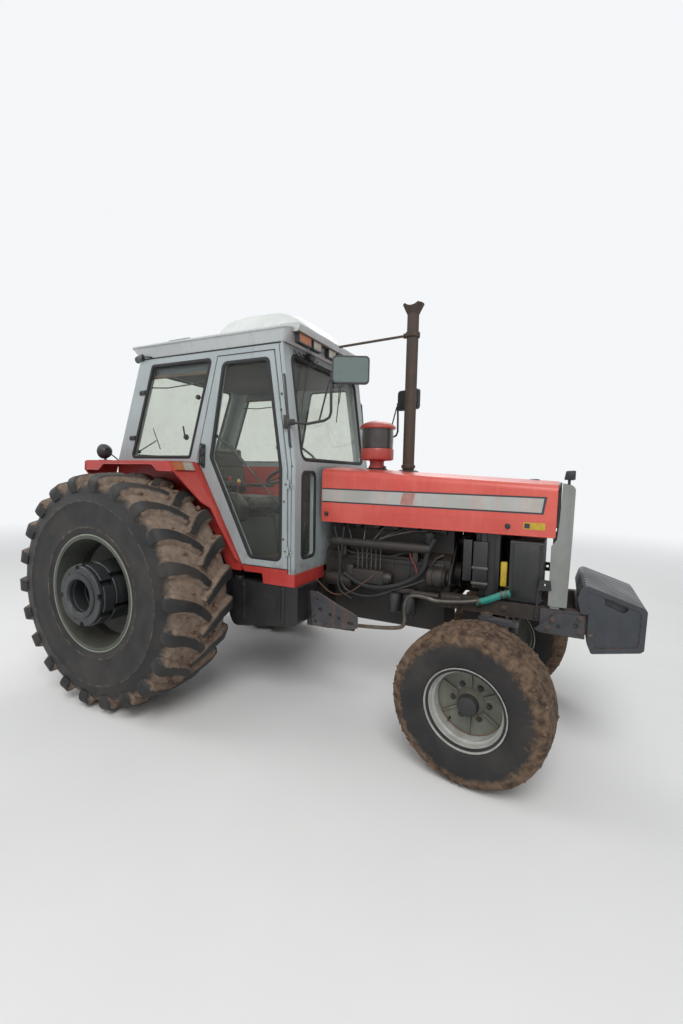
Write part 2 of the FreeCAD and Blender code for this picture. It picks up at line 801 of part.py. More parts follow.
def nose():
    body = new_body("nose_surround")
    back = s.nose_back_x
    front = s.nose_front_x
    half = s.hood_half
    top = s.hood_front_z
    pad(body, "XZ", -half, half, [
        (s.hood_front_x + 22, top + 4), (front - 4, top - 6, 34), (front - 6, 1360),
        (front - 14, s.nose_foot_z, 10), (back, s.nose_foot_z, 10), (back, s.hood_foot_z - 50),
        (s.hood_front_x + 8, s.hood_foot_z - 8), (s.hood_front_x + 16, s.hood_crease_z - 6)])
    pocket(body, "YZ", back - 60, front - 30, box(-half + 14, half - 14, s.nose_foot_z - 20, top - 30, 12))
    pocket(body, "YZ", back - 60, front + 20, box(-half + 44, half - 44, 1010, top - 62, 18))
    for side in (-1, 1):
        low = min_side(side, s.rail_y + 4, half - 8)
        pad(body, "XZ", low[0], low[1], box(back + 12, back + 62, s.rail_top_z, s.nose_foot_z + 34))
    grille = new_body("nose_grille")
    pad(grille, "YZ", front - 52, front - 30 - s.seat_gap, box(-half + 30, half - 30, 990, top - 46, 12),
        *[box(-half + 60, half - 60, 1020 + step * 44, 1050 + step * 44) for step in range(8)])
    lamps = new_body("lamps_clear")
    for side in (-1, 1):
        low = min_side(side, 60, 250)
        pad(lamps, "YZ", front - 30, front - 16, box(low[0], low[1], 1430, 1560, 14))
    # columns: middle y of each work lamp under the visor
    lamp = s.roof_rim_z - 19
    for y in (-310, -80, 80, 310):
        pad(lamps, "YZ", s.head_front_x + 66, s.head_front_x + 98, box(y - 58, y + 58, lamp - 62, lamp))
    for side in (-1, 1):
        ends = min_side(side, s.cab_half + 55, s.cab_half + 150)
        pad(lamps, "XZ", ends[0], ends[1], fender_lamp_outline())


def fender_lamp_outline():
    face_x = s.door_belt_back_x - s.door_gap * 1.4 - 8 + s.seat_gap
    low = s.fender_top_z - s.fender_lip + 9
    return [(face_x, s.belt_z), (face_x + 33, low), (face_x + 48, low), (face_x + 15, s.belt_z)]


# Cab frames: sides, front and back, each padded as one wall with its openings cut through
def door_outline(gap):
    return [
        (s.door_top_back_x - gap, s.door_top_z + gap),
        (s.door_belt_back_x - gap * 1.3, s.belt_z + 28),
        (s.door_foot_back_x - gap * 1.3, s.door_foot_z - gap),
        (s.door_foot_front_x + gap, s.door_foot_z - gap),
        (s.door_belt_front_x + gap, s.belt_z - 37),
        (s.door_top_front_x + gap, s.door_top_z + gap)]


# columns: foot of each door hinge, whose lower half is the pillar's and upper half the door's
hinge_feet = (1130, 1590)


def hinge_half(body, low, back, front):
    pad(body, "XY", low, low + 30, ("circle", s.hinge_x, -s.cab_half - 12, 8))
    pad(body, "XZ", -s.cab_half - 8, -s.cab_half, box(back, front, low + 2, low + 28))


def side_frame():
    body = new_body("cab_side_frame_right")
    low = -s.cab_half
    high = -s.cab_half + s.cab_wall
    gap = s.door_gap
    pad(body, "XZ", low, high, [
        (s.belt_back_x, s.belt_z), (s.head_back_x, s.cab_head_z), (s.head_front_x, s.cab_head_z),
        (s.belt_front_x, s.belt_z), (s.cab_front_x, s.cab_floor_z - 12),
        (s.door_foot_front_x + gap, s.cab_floor_z - 12),
        (s.door_belt_front_x + gap, s.belt_z - 37), (s.door_top_front_x + gap, s.door_top_z + gap),
        (s.door_top_back_x - gap, s.door_top_z + gap), (s.door_belt_back_x - gap * 1.3, s.belt_z + 28),
        (s.door_belt_back_x - gap * 1.3 + 16, s.belt_z)])
    pocket(body, "XZ", low - 1, high + 1, quarter_outline(0))
    for foot in hinge_feet:
        hinge_half(body, foot, s.hinge_x, s.hinge_x + 30)
    mirrored("cab_side_frame_left", body)


def quarter_outline(inset):
    return [
        (s.belt_back_x + 175 + inset, s.belt_z + 43 + inset, 20),
        (s.head_back_x + 130 + inset, s.door_top_z - 12 - inset, 20),
        (s.door_top_back_x - 68 - inset, s.door_top_z - 12 - inset, 20),
        (s.door_belt_back_x - 80 - inset, s.belt_z + 43 + inset, 20)]


def front_slab(back_shift):
    return [
        (s.cab_front_x - back_shift, s.cab_floor_z - 12), (s.belt_front_x - back_shift, s.belt_z),
        (s.head_front_x - back_shift, s.cab_head_z)]


def windscreen_outline(inset):
    half = s.cab_half - 100 - inset
    return box(-half, half, s.belt_z + 34 + inset, s.cab_head_z - 62 - inset, 60)


def corner_outline(side, inset):
    inner = s.hood_half + 16 + inset
    outer = s.cab_half - 96 - inset
    low = min_side(side, inner, outer)
    return box(low[0], low[1], s.cab_floor_z + 86 + inset, s.belt_z - 52 - inset, 40)


def front_frame_of_cab():
    body = new_body("cab_front_frame")
    inner = s.cab_half - s.cab_wall
    wall = s.cab_wall
    front = front_slab(0)
    rear = front_slab(wall)
    pad(body, "XZ", -inner, inner, front + rear[::-1])
    pocket(body, "YZ", s.head_front_x - 200, s.cab_front_x + 50,
           windscreen_outline(0), corner_outline(-1, 0), corner_outline(1, 0))


def rear_slab(shift):
    return [
        (s.belt_back_x + shift, s.cab_deck_z - 60), (s.belt_back_x + shift, s.belt_z),
        (s.head_back_x + shift, s.cab_head_z)]


def rear_window_outline(inset):
    half = s.cab_half - 120 - inset
    return box(-half, half, s.belt_z + 60 + inset, s.cab_head_z - 80 - inset, 50)


def rear_frame_of_cab():
    body = new_body("cab_rear_frame")
    inner = s.cab_half - s.cab_wall
    pad(body, "XZ", -inner, inner, rear_slab(0) + rear_slab(s.cab_wall)[::-1])
    pocket(body, "YZ", s.belt_back_x - 50, s.head_back_x + 200, rear_window_outline(0))


def cab_floor():
    body = new_body("cab_floor")
    inner = s.cab_half - s.cab_wall
    plate = s.cab_plate
    back = s.belt_back_x + s.cab_wall
    front = s.cab_front_x - s.cab_wall - s.seat_gap
    pad(body, "XZ", -inner, inner, [
        (back, s.cab_deck_z), (600, s.cab_deck_z), (700, s.cab_floor_z), (front, s.cab_floor_z),
        (front, s.cab_floor_z - plate), (680, s.cab_floor_z - plate), (580, s.cab_deck_z - plate),
        (back, s.cab_deck_z - plate)])
    for x in (760, 1120):
        pad(body, "XZ", -240, -s.case_half, box(x, x + 60, s.cab_floor_z - 140, s.cab_floor_z - plate))
        pad(body, "XZ", s.case_half, 240, box(x, x + 60, s.cab_floor_z - 140, s.cab_floor_z - plate))
    sill = new_body("cab_sill")
    foot = s.cab_floor_z - 100
    top = s.door_foot_z - s.door_gap
    seat_z = s.cab_floor_z - 12
    for side in (-1, 1):
        low = min_side(side, inner, s.cab_half)
        pad(sill, "XZ", low[0], low[1], [
            (s.door_foot_back_x - 10, top), (s.door_foot_front_x, top), (s.door_foot_front_x, seat_z),
            (s.cab_front_x + 6, seat_z), (s.cab_front_x + 6, foot), (1010, foot),
            (1000, foot + 70), (s.door_foot_back_x + 20, foot + 70)])
    for side in (-1, 1):
        low = min_side(side, s.case_half + s.seat_gap, inner)
        pad(sill, "YZ", s.cab_front_x - s.cab_wall, s.cab_front_x + 6, box(low[0], low[1], foot, seat_z))


# Panes sit in the same outlines as the openings, smaller by the seating gap
def cab_glass():
    body = new_body("front_panes")
    gap = s.seat_gap
    thick = s.glass_thick
    span = s.cab_half
    reach = s.head_front_x - 200
    pad(body, "YZ", reach, s.cab_front_x + 40,
        windscreen_outline(gap), corner_outline(-1, gap), corner_outline(1, gap))
    front = front_slab(20)
    rear = front_slab(20 + thick)
    pocket(body, "XZ", -span, span, [
        (s.cab_front_x + 60, s.cab_floor_z - 30), (s.cab_front_x + 60, s.cab_head_z + 30),
        (front[2][0], s.cab_head_z + 30), front[2], front[1], front[0], (front[0][0], s.cab_floor_z - 30)])
    pocket(body, "XZ", -span, span, [
        (reach - 20, s.cab_floor_z - 30), (reach - 20, s.cab_head_z + 30),
        (rear[2][0], s.cab_head_z + 30), rear[2], rear[1], rear[0], (rear[0][0], s.cab_floor_z - 30)])
    back = new_body("rear_pane")
    pad(back, "YZ", s.belt_back_x - 40, s.head_back_x + 200, rear_window_outline(gap))
    outer = rear_slab(20)
    inner = rear_slab(20 + thick)
    pocket(back, "XZ", -span, span, [
        (s.belt_back_x - 60, s.belt_z), (s.belt_back_x - 60, s.cab_head_z + 30),
        (outer[2][0], s.cab_head_z + 30), outer[2], outer[1]])
    pocket(back, "XZ", -span, span, [
        (s.head_back_x + 260, s.belt_z), (s.head_back_x + 260, s.cab_head_z + 30),
        (inner[2][0], s.cab_head_z + 30), inner[2], inner[1]])
    quarters = new_body("quarter_panes")
    for side in (-1, 1):
        low = min_side(side, s.cab_half - 20 - thick, s.cab_half - 20)
        pad(quarters, "XZ", low[0], low[1], quarter_outline(gap))
    panes = doc.addObject("Part::Compound", "cab_glass")
    panes.Label = "cab_glass"
    panes.Links = [body, back, quarters]
    for name in ("front_panes", "rear_pane", "quarter_panes"):
        del pieces[name]
    pieces["cab_glass"] = panes


def door_window(inset):
    return [
        (s.door_top_back_x + 50 + inset, s.door_top_z - 50 - inset, 40),
        (s.door_top_front_x - 46 - inset, s.door_top_z - 50 - inset, 30),
        (s.door_belt_front_x - 50 - inset, s.belt_z - 37, 200),
        (s.door_foot_front_x - 58 - inset, s.door_foot_z + 58 + inset, 40),
        (s.door_foot_back_x + 70 + inset, s.door_foot_z + 58 + inset, 40),
        (s.door_belt_back_x + 130 + inset, s.belt_z + 43, 60)]


def door():
    body = new_body("door_right")
    outer = -s.cab_half - 2
    inner = outer + s.door_thick
    pad(body, "XZ", outer, inner, door_outline(0))
    pocket(body, "XZ", outer - 1, inner + 1, door_window(0))
    for foot in hinge_feet:
        hinge_half(body, foot + 30 + s.seat_gap, s.hinge_x - 36, s.hinge_x)
    glass = new_body("door_glass_right")
    pad(glass, "XZ", outer + 14, outer + 14 + s.glass_thick, door_window(s.seat_gap))
    mirrored("door_left", body)
    mirrored("door_glass_left", glass)


def roof():
    body = new_body("cab_roof")
    half = s.roof_half
    foot = box(s.head_back_x - 20, s.head_front_x + 14, -half + 32, half - 32, 30)
    rim = box(s.head_back_x - 78, s.head_front_x + 74, -half, half, 40)
    top = box(s.head_back_x + 20, s.head_front_x + 20, -half + 90, half - 90, 60)
    loft(body, "XY", (s.roof_foot_z, foot), (s.roof_rim_z, rim))
    loft(body, "XY", (s.roof_rim_z, rim), (s.roof_top_z, top))
    lamp = s.roof_rim_z - 19
    pad(body, "XZ", -half + 65, half - 65, [
        (s.head_front_x - 40, s.roof_top_z - 4), (s.visor_front_x, s.roof_rim_z + 35, 6),
        (s.visor_front_x, s.roof_rim_z + 20), (s.head_front_x + 102, lamp), (s.head_front_x + 40, lamp),
        (s.head_front_x - 20, lamp - 40)])
    dome = new_body("roof_dome")
    base = s.roof_top_z
    height = s.dome_top_z - s.roof_top_z
    # columns: share of the height, back x, front x, half width
    shells = [(0.0, 290, 1150, 410), (0.30, 300, 1140, 404), (0.34, 330, 1112, 390),
              (0.62, 372, 1064, 364), (0.86, 446, 984, 312), (1.0, 560, 880, 230)]
    loft(dome, "XY", *[(base + height * share, box(low, high, -half_y, half_y, 90))
                       for share, low, high, half_y in shells])


def fender():
    body = new_body("fender_right")
    inner = s.cab_half
    wall_in = s.cab_half - s.cab_wall
    out = s.fender_y
    sheet_thick = s.fender_sheet
    top = s.fender_top_z
    low = top - s.fender_lip
    line_x = s.door_belt_back_x - s.door_gap * 1.4
    foot_x = s.door_foot_back_x - s.door_gap * 1.4
    face_x = line_x - 8
    bend_x = line_x + 25
    bend_z = low + 9
    back = s.fender_back_x
    pad(body, "XZ", -inner, -wall_in, [
        (s.belt_back_x, s.cab_deck_z - 60), (s.belt_back_x, s.belt_z), (line_x, s.belt_z),
        (foot_x, s.door_foot_z), (foot_x, s.cab_floor_z - 30), (690, s.cab_floor_z - 30),
        (560, s.cab_deck_z - 60)])
    pad(body, "XY", s.belt_z - 2, top, [
        (s.belt_back_x, -inner), (face_x, -inner), (face_x, -out, 14), (back, -out, 30), (back, -inner)])
    pad(body, "XZ", -out, -out + sheet_thick, [
        (back + 20, low), (back + 164, low), (back + 226, low + 46), (face_x - 171, low + 46),
        (face_x - 118, low), (bend_x - 6, low), (bend_x - 6, bend_z), (face_x - 6, s.belt_z),
        (back + 20, s.belt_z)])
    # columns: y and the height of the front wedge's lower edge, which keeps clear of the tyre
    rows = [(inner, s.door_foot_z), (inner + 30, 1070), (inner + 46, 1290), (inner + 50, 1425),
            (inner + 120, 1470), (out - 2, low + 2)]
    slope = []
    for y, foot_z in rows:
        x = bend_x + (foot_x - bend_x) * (bend_z - foot_z) / (bend_z - s.door_foot_z)
        slope.append((-y, [(face_x, s.belt_z), (bend_x, bend_z), (x, foot_z),
                           (x - 12, foot_z), (bend_x - 12, bend_z), (face_x - 12, s.belt_z)]))
    loft(body, "XZ", *slope)
    loft(body, "XZ",
         (-inner, [(s.belt_back_x, s.belt_z), (s.belt_back_x - 120, 1420), (s.belt_back_x - 108, 1420),
                   (s.belt_back_x + 12, s.belt_z)]),
         (-out + 2, [(back, s.belt_z), (back - 6, low), (back + 6, low), (back + 12, s.belt_z)]))
    mirrored("fender_left", body)


def stacks():
    pipe = new_body("exhaust_stack", s.exhaust_x, 0, 0)
    radius = s.exhaust_radius
    foot = s.engine_top_z + s.seat_gap
    top = s.exhaust_top_z
    turned(pipe, "XZ", [
        (0, foot), (radius, foot), (radius, top - 70), (radius + 34, top), (radius + 30, top),
        (radius - 4, top - 68), (radius - 4, top - 160), (0, top - 160)])
    pocket(pipe, "XZ", -90, 90, ("circle", 0, top + 42, radius + 20))
    clamp = s.roof_rim_z + 35
    turned(pipe, "XZ", [
        (radius - 1, clamp), (radius + 8, clamp), (radius + 8, clamp + 24), (radius - 1, clamp + 24)])
    reach = s.exhaust_x - s.visor_front_x
    pad(pipe, "XZ", -8, 8, [
        (-reach, s.roof_rim_z + 17), (-reach, s.roof_rim_z + 31), (-radius + 1, clamp + 20),
        (-radius + 1, clamp + 6)])
    cleaner = new_body("pre_cleaner", s.cleaner_x, 0, 0)
    bowl = s.cleaner_radius
    hood = s.hood_back_z
    turned(cleaner, "XZ", [
        (0, foot), (50, foot), (50, hood + 68), (bowl + 4, hood + 76), (bowl + 4, hood + 154),
        (bowl - 2, hood + 154), (bowl - 2, hood + 312), (bowl + 18, hood + 304), (bowl + 18, hood + 314),
        (40, s.cleaner_top_z), (0, s.cleaner_top_z)])


def side_boxes():
    body = new_body("side_tanks")
    low = s.cab_floor_z - 100
    for side in (-1, 1):
        ends = min_side(side, 330, s.cab_half - 10)
        pad(body, "XZ", ends[0], ends[1], [
            (700, low, 20), (1290, low, 10), (1290, low - 272, 40), (740, low - 352, 60),
            (700, low - 272, 20)])
    for side in (-1, 1):
        ends = min_side(side, 440, 458)
        pad(body, "XZ", ends[0], ends[1], [
            (1280, low - 62), (1300, low - 54), (1650, low - 222), (1650, low - 287), (1280, low - 302)])
        ends = min_side(side, s.case_half, 440)
        pad(body, "XZ", ends[0], ends[1], box(1296, 1309.7, low - 212, low - 112))


# Intake pipe along the engine's right side on two brackets, with the coolant pipe below it
def pipes():
    body = new_body("engine_pipes")
    out = -s.engine_half - 62
    pad(body, "YZ", s.engine_back_x + 90, s.engine_front_x - 120, ("circle", out, 1212, 30))
    for x in (s.engine_back_x + 160, s.engine_front_x - 240):
        pad(body, "YZ", x, x + 34, box(out - 6, -s.engine_half, 1120, 1206))
    pad(body, "YZ", s.engine_front_x - 240, s.rail_back_x - 15, ("circle", out, 905, 20))
    pad(body, "XY", 740, 925, ("circle", s.engine_front_x - 240, out, 20))
    pad(body, "YZ", s.engine_front_x - 120, s.engine_front_x - 90, box(out, -s.engine_half, 895, 925))


def controls():
    column = new_body("steering_column")
    tilt = s.column_tilt
    hub_x = s.steering_wheel_x
    hub_z = s.steering_wheel_z
    pad(column, "XZ", -150, 150, [
        (1030, s.cab_floor_z), (1175, s.cab_floor_z), (1160, hub_z - 10, 20), (1085, hub_z + 16, 20),
        (1000, hub_z - 100, 20), (1030, hub_z - 220)])
    # the shaft runs from under the wheel down into the console
    lean = sine(tilt)
    rise = cosine(tilt)
    pad(column, "XZ", -34, 34, [
        (hub_x + 28.4 * lean - 34 * rise, hub_z - 28.4 * rise - 34 * lean),
        (hub_x + 28.4 * lean + 34 * rise, hub_z - 28.4 * rise + 34 * lean),
        (hub_x + 560 * lean + 34 * rise, hub_z - 560 * rise + 34 * lean),
        (hub_x + 560 * lean - 34 * rise, hub_z - 560 * rise - 34 * lean)])
    wheel = new_body("steering_wheel", hub_x, 0, hub_z, -tilt, (0, 1, 0))
    # the grip's section has eight sides
    turned(wheel, "XZ", [
        (195 + 15 * math.cos(math.radians(turn)), 15 * math.sin(math.radians(turn)))
        for turn in range(0, 360, 45)])
    turned(wheel, "XZ", [(0, -28), (42, -28), (42, 8), (0, 12)])
    for turn in (-30, 90, 210):
        dx = math.cos(math.radians(turn))
        dy = math.sin(math.radians(turn))
        pad(wheel, "XY", -7, 3, [
            (30 * dx - 11 * dy, 30 * dy + 11 * dx), (190 * dx - 9 * dy, 190 * dy + 9 * dx),
            (190 * dx + 9 * dy, 190 * dy - 9 * dx), (30 * dx + 11 * dy, 30 * dy - 11 * dx)])
    seat = new_body("seat")
    deck = s.cab_deck_z
    pad(seat, "XZ", -150, 150, [(230, deck), (520, deck), (490, deck + 95), (260, deck + 95)])
    pad(seat, "XZ", -245, 245, [
        (190, deck + 90, 20), (660, deck + 90, 40), (660, deck + 180, 36), (240, deck + 190),
        (150, deck + 630, 40), (50, deck + 630, 50), (120, deck + 170, 30)])


def mirror_arms():
    body = new_body("mirrors")
    foot = s.belt_z + 233
    plate_low = s.cab_head_z - 308
    plate_high = s.cab_head_z - 142
    reach = s.mirror_wide / 2
    thick = 14
    # the plate runs forward and inward from the arm's top
    ahead = cosine(s.mirror_turn)
    inward = sine(s.mirror_turn)
    for side in (-1, 1):
        ends = min_side(side, s.cab_half, s.cab_half + 24)
        pad(body, "XZ", ends[0], ends[1], box(1180, 1210, foot, foot + 44))
        ends = min_side(side, s.cab_half + 8, s.cab_half + 22)
        pad(body, "XZ", ends[0], ends[1], [
            (1208, foot + 14), (1535, foot + 60), (1552, plate_low + 26), (1538, plate_low + 26),
            (1521, foot + 72), (1208, foot + 28)])
        middle_x = 1540 + reach * ahead
        middle_y = side * (s.cab_half + 20 - reach * inward)
        corners = []
        for along, across in ((-1, -1), (1, -1), (1, 1), (-1, 1)):
            x = middle_x + along * reach * ahead + across * thick * inward
            y = middle_y - side * (along * reach * inward - across * thick * ahead)
            corners.append((x, y))
        pad(body, "XY", plate_low, plate_high, corners)


def amber_lamps():
    body = new_body("lamps_amber")
    lamp = s.roof_rim_z - 19
    for side in (-1, 1):
        ends = min_side(side, s.cab_half + 150 + s.seat_gap, s.fender_y - 22)
        pad(body, "XZ", ends[0], ends[1], fender_lamp_outline())
        ends = min_side(side, 400, 560)
        pad(body, "YZ", s.head_front_x + 66, s.head_front_x + 98, box(ends[0], ends[1], lamp - 62, lamp))


# Hitch: drawbar, power shaft and top link bracket stay put, the lower links rise with the lift arms
def hitch():
    body = new_body("drawbar")
    pad(body, "XY", s.drawbar_z, s.drawbar_z + 38, [
        (-s.drawbar_reach - 45, -36, 30), (200, -36), (200, 36), (-s.drawbar_reach - 45, 36, 30)])
    bore = s.drawbar_bore / 2
    pocket(body, "XY", s.drawbar_z - 1, s.drawbar_z + 39, ("circle", -s.drawbar_reach, 0, bore))
    # the legs end against the sloping underside of the case
    for x in (-200, 140):
        pad(body, "XZ", -60, 60, [
            (x, s.drawbar_z + 38), (x + 50, s.drawbar_z + 38),
            (x + 50, s.case_floor_z - s.seat_gap + (150 - x) / 23.0),
            (x, s.case_floor_z - s.seat_gap + (200 - x) / 23.0)])
    shaft = new_body("pto_shaft", 0, 0, s.pto_z)
    pad(shaft, "YZ", -340, -260 - s.seat_gap, ("circle", 0, 0, s.pto_radius))
    bracket = new_body("top_link_bracket")
    for side in (-1, 1):
        ends = min_side(side, 30, 48)
        pad(bracket, "XZ", ends[0], ends[1], [
            (-260.3, s.top_link_z - 70), (-260.3, s.top_link_z + 70), (-330, s.top_link_z + 30, 20),
            (-330, s.top_link_z - 30, 20)])
    pocket(bracket, "XZ", -60, 60, ("circle", -300, s.top_link_z, s.top_link_bore / 2))


def linkage():
    arms = new_body("lift_arms", s.rocker_x, 0, s.rocker_z)
    reach = s.lift_arm
    gap = s.running_gap
    pin = 14
    pad(arms, "XZ", -s.lift_arm_y, -s.case_half - gap, ("circle", 0, 0, 40))
    pad(arms, "XZ", s.case_half + gap, s.lift_arm_y, ("circle", 0, 0, 40))
    for side in (-1, 1):
        ends = min_side(side, s.lift_arm_y, s.lift_arm_y + 26)
        pad(arms, "XZ", ends[0], ends[1], [
            (40, -50, 30), (40, 50, 30), (-reach - 30, 30, 24), (-reach - 30, -30, 24)])
        ends = min_side(side, s.lift_arm_y - 36, s.lift_arm_y)
        pad(arms, "XZ", ends[0], ends[1], ("circle", -reach, 0, pin))
    rods = new_body("lift_rods", s.rocker_x - reach, 0, s.rocker_z)
    drop = s.rocker_z - s.link_pin_z
    for side in (-1, 1):
        ends = min_side(side, s.lift_arm_y - 32, s.lift_arm_y - 12)
        pad(rods, "XZ", ends[0], ends[1], ("circle", 0, 0, 32), ("circle", 0, 0, pin + gap))
        pad(rods, "XZ", ends[0], ends[1], box(-13, 13, -drop + 36, -30))
        pad(rods, "XZ", ends[0], ends[1], ("circle", 0, -drop, 42), ("circle", 0, -drop, 26))
    links = new_body("lower_links", s.link_pin_x, 0, s.link_pin_z)
    span = s.link_reach + s.link_pin_x - 40
    rod_x = s.rocker_x - reach - s.link_pin_x
    for side in (-1, 1):
        near = side * s.link_pin_y
        far = side * s.link_eye_y
        pad(links, "XY", -22, 22, [
            (-22, near - 13), (-22, near + 13), (-span + 30, far + 13), (-span + 30, far - 13)])
        ends = min_side(side, s.link_pin_y - 13, s.link_pin_y + 13)
        pad(links, "XZ", ends[0], ends[1], ("circle", 0, 0, 34))
        pocket(links, "XZ", ends[0] - 1, ends[1] + 1, ("circle", 0, 0, pin + gap))
        ends = min_side(side, s.link_eye_y - 24, s.link_eye_y + 24)
        pad(links, "XZ", ends[0], ends[1], ("circle", -span, 0, 40))
        pocket(links, "XZ", ends[0] - 1, ends[1] + 1, ("circle", -span, 0, s.link_eye_bore / 2))
        ends = min_side(side, s.lift_arm_y - 36, s.lift_arm_y + 18)
        pad(links, "XZ", ends[0], ends[1], ("circle", rod_x, 0, 10))


rear_wheel()
rear_tyre()
wheel_weights()
front_wheels()
tie_rod()
front_axle()
transaxle()
engine()
front_frame()
weight_carrier()
suitcase_weights()
cooling()
bonnet()
nose()
side_frame()
front_frame_of_cab()
rear_frame_of_cab()
cab_floor()
cab_glass()
door()
roof()
fender()
stacks()
side_boxes()
pipes()
controls()
mirror_arms()
amber_lamps()
hitch()
linkage()
doc.recompute()

for item in doc.Objects:
    for state in item.State:
        if state in ("Invalid", "Error"):
            raise RuntimeError("%s is %s" % (item.Label, state))

os.makedirs("parts", exist_ok=True)
for label, item in pieces.items():
    shape = item.Shape
    if shape.isNull() or not shape.isValid() or not shape.Solids:
        raise RuntimeError(label + " has no valid shape")
    shape.exportStep("parts/%s.step" % label)
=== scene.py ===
import bmesh
import bpy
import math
import random
from mathutils import Matrix, Vector, noise
from mathutils.geometry import tessellate_polygon


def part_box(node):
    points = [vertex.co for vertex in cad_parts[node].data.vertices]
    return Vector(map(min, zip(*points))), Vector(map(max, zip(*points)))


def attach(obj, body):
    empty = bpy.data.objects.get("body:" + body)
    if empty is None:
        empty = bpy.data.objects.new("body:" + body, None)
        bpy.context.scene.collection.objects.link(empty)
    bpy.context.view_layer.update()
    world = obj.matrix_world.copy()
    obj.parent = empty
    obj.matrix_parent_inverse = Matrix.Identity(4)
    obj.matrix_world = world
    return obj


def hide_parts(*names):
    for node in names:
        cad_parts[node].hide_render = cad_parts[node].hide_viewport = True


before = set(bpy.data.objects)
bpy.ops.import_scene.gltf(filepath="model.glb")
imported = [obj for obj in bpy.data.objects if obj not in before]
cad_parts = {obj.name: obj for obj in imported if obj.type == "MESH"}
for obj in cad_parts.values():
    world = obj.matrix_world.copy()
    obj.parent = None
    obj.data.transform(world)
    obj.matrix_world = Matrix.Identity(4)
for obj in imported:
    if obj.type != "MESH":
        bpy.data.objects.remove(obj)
scene = bpy.context.scene
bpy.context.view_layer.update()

# places below are millimetres ahead of the rear axle, to the left of the middle and above the ground
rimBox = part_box("rear_rim_right")
axleX = (rimBox[0].x + rimBox[1].x) / 2
sides = ((-1, "Right", "right"), (1, "Left", "left"))


def spot(x, y, z):
    return Vector((x / 1000 + axleX, y / 1000, z / 1000))


# camera, matched to the photograph
cameraPlace = dict(x=2882.4, y=-3208.2, z=1688.7, turn=26.079, down=4.669, roll=1.288, lens=15.861)


def makeCamera(place):
    turn, down, roll = (math.radians(place[key]) for key in ("turn", "down", "roll"))
    ahead = Vector((-math.sin(turn) * math.cos(down), math.cos(turn) * math.cos(down), -math.sin(down)))
    right = Vector((math.cos(turn), math.sin(turn), 0))
    up = right.cross(ahead)
    tilted = right * math.cos(roll) + up * math.sin(roll)
    up = up * math.cos(roll) - right * math.sin(roll)
    data = bpy.data.cameras.new("camera")
    data.lens = place["lens"]
    data.sensor_width = 36
    data.clip_start, data.clip_end = 0.05, 1000
    camera = bpy.data.objects.new("camera", data)
    scene.collection.objects.link(camera)
    turned = Matrix((tilted, up, -ahead)).transposed().to_4x4()
    camera.matrix_world = Matrix.Translation(spot(place["x"], place["y"], place["z"])) @ turned
    scene.camera = camera


makeCamera(cameraPlace)
print("camera placed")


# node helpers
def shade(code):
    parts = [int(code[k:k + 2], 16) / 255 for k in (0, 2, 4)]
    return tuple(c / 12.92 if c <= 0.04045 else ((c + 0.055) / 1.055) ** 2.4 for c in parts) + (1.0,)


def put(tree, kind, inputs=None, **settings):
    node = tree.nodes.new(kind)
    for key, value in settings.items():
        setattr(node, key, value)
    for key, value in (inputs or {}).items():
        if isinstance(value, bpy.types.NodeSocket):
            tree.links.new(value, node.inputs[key])
        else:
            node.inputs[key].default_value = value
    return node


def blendColour(tree, share, first, second):
    return put(tree, "ShaderNodeMix", {0: share, 6: first, 7: second}, data_type="RGBA").outputs[2]


def sums(tree, how, first, second, clamp=False):
    return put(tree, "ShaderNodeMath", {0: first, 1: second}, operation=how, use_clamp=clamp).outputs[0]


def ramped(tree, value, low, high, bottom=0.0, top=1.0):
    return put(tree, "ShaderNodeMapRange", {"Value": value, "From Min": low, "From Max": high,
                                            "To Min": bottom, "To Max": top}).outputs[0]


def newGroup(name, inputs, output, kind="NodeSocketFloat"):
    group = bpy.data.node_groups.new(name, "ShaderNodeTree")
    for label, start in inputs.items():
        socket = group.interface.new_socket(name=label, in_out="INPUT", socket_type="NodeSocketFloat")
        socket.default_value = start
    group.interface.new_socket(name=output, in_out="OUTPUT", socket_type=kind)
    return group, group.nodes.new("NodeGroupInput").outputs, group.nodes.new("NodeGroupOutput")


def objectPlace(tree, stretch=None):
    place = put(tree, "ShaderNodeTexCoord").outputs["Object"]
    if stretch:
        place = put(tree, "ShaderNodeVectorMath", {0: place, 1: stretch}, operation="MULTIPLY").outputs[0]
    return place


# shared effects, each a group that the finishes place with their own values
def makeBlotches():
    group, given, out = newGroup("blotches", dict(Scale=4.0, Detail=4.0, Low=0.4, High=0.6), "Mask")
    cloud = put(group, "ShaderNodeTexNoise", {"Vector": objectPlace(group), "Scale": given["Scale"],
                                              "Detail": given["Detail"], "Roughness": 0.6})
    group.links.new(ramped(group, cloud.outputs[0], given["Low"], given["High"]), out.inputs[0])
    return group


def makeWornEdges():
    group, given, out = newGroup("wornEdges", dict(Width=0.006, Amount=1.0, Scale=30.0), "Mask")
    rounded = put(group, "ShaderNodeBevel", {"Radius": given["Width"]}, samples=4)
    flat = put(group, "ShaderNodeNewGeometry").outputs["Normal"]
    likeness = put(group, "ShaderNodeVectorMath", {0: rounded.outputs[0], 1: flat},
                   operation="DOT_PRODUCT").outputs["Value"]
    edge = ramped(group, likeness, 0.995, 0.86)
    cloud = put(group, "ShaderNodeTexNoise", {"Vector": objectPlace(group), "Scale": given["Scale"],
                                              "Detail": 5.0}).outputs[0]
    broken = ramped(group, cloud, 0.42, 0.60)
    mask = sums(group, "MULTIPLY", sums(group, "MULTIPLY", edge, broken), given["Amount"], True)
    group.links.new(mask, out.inputs[0])
    return group


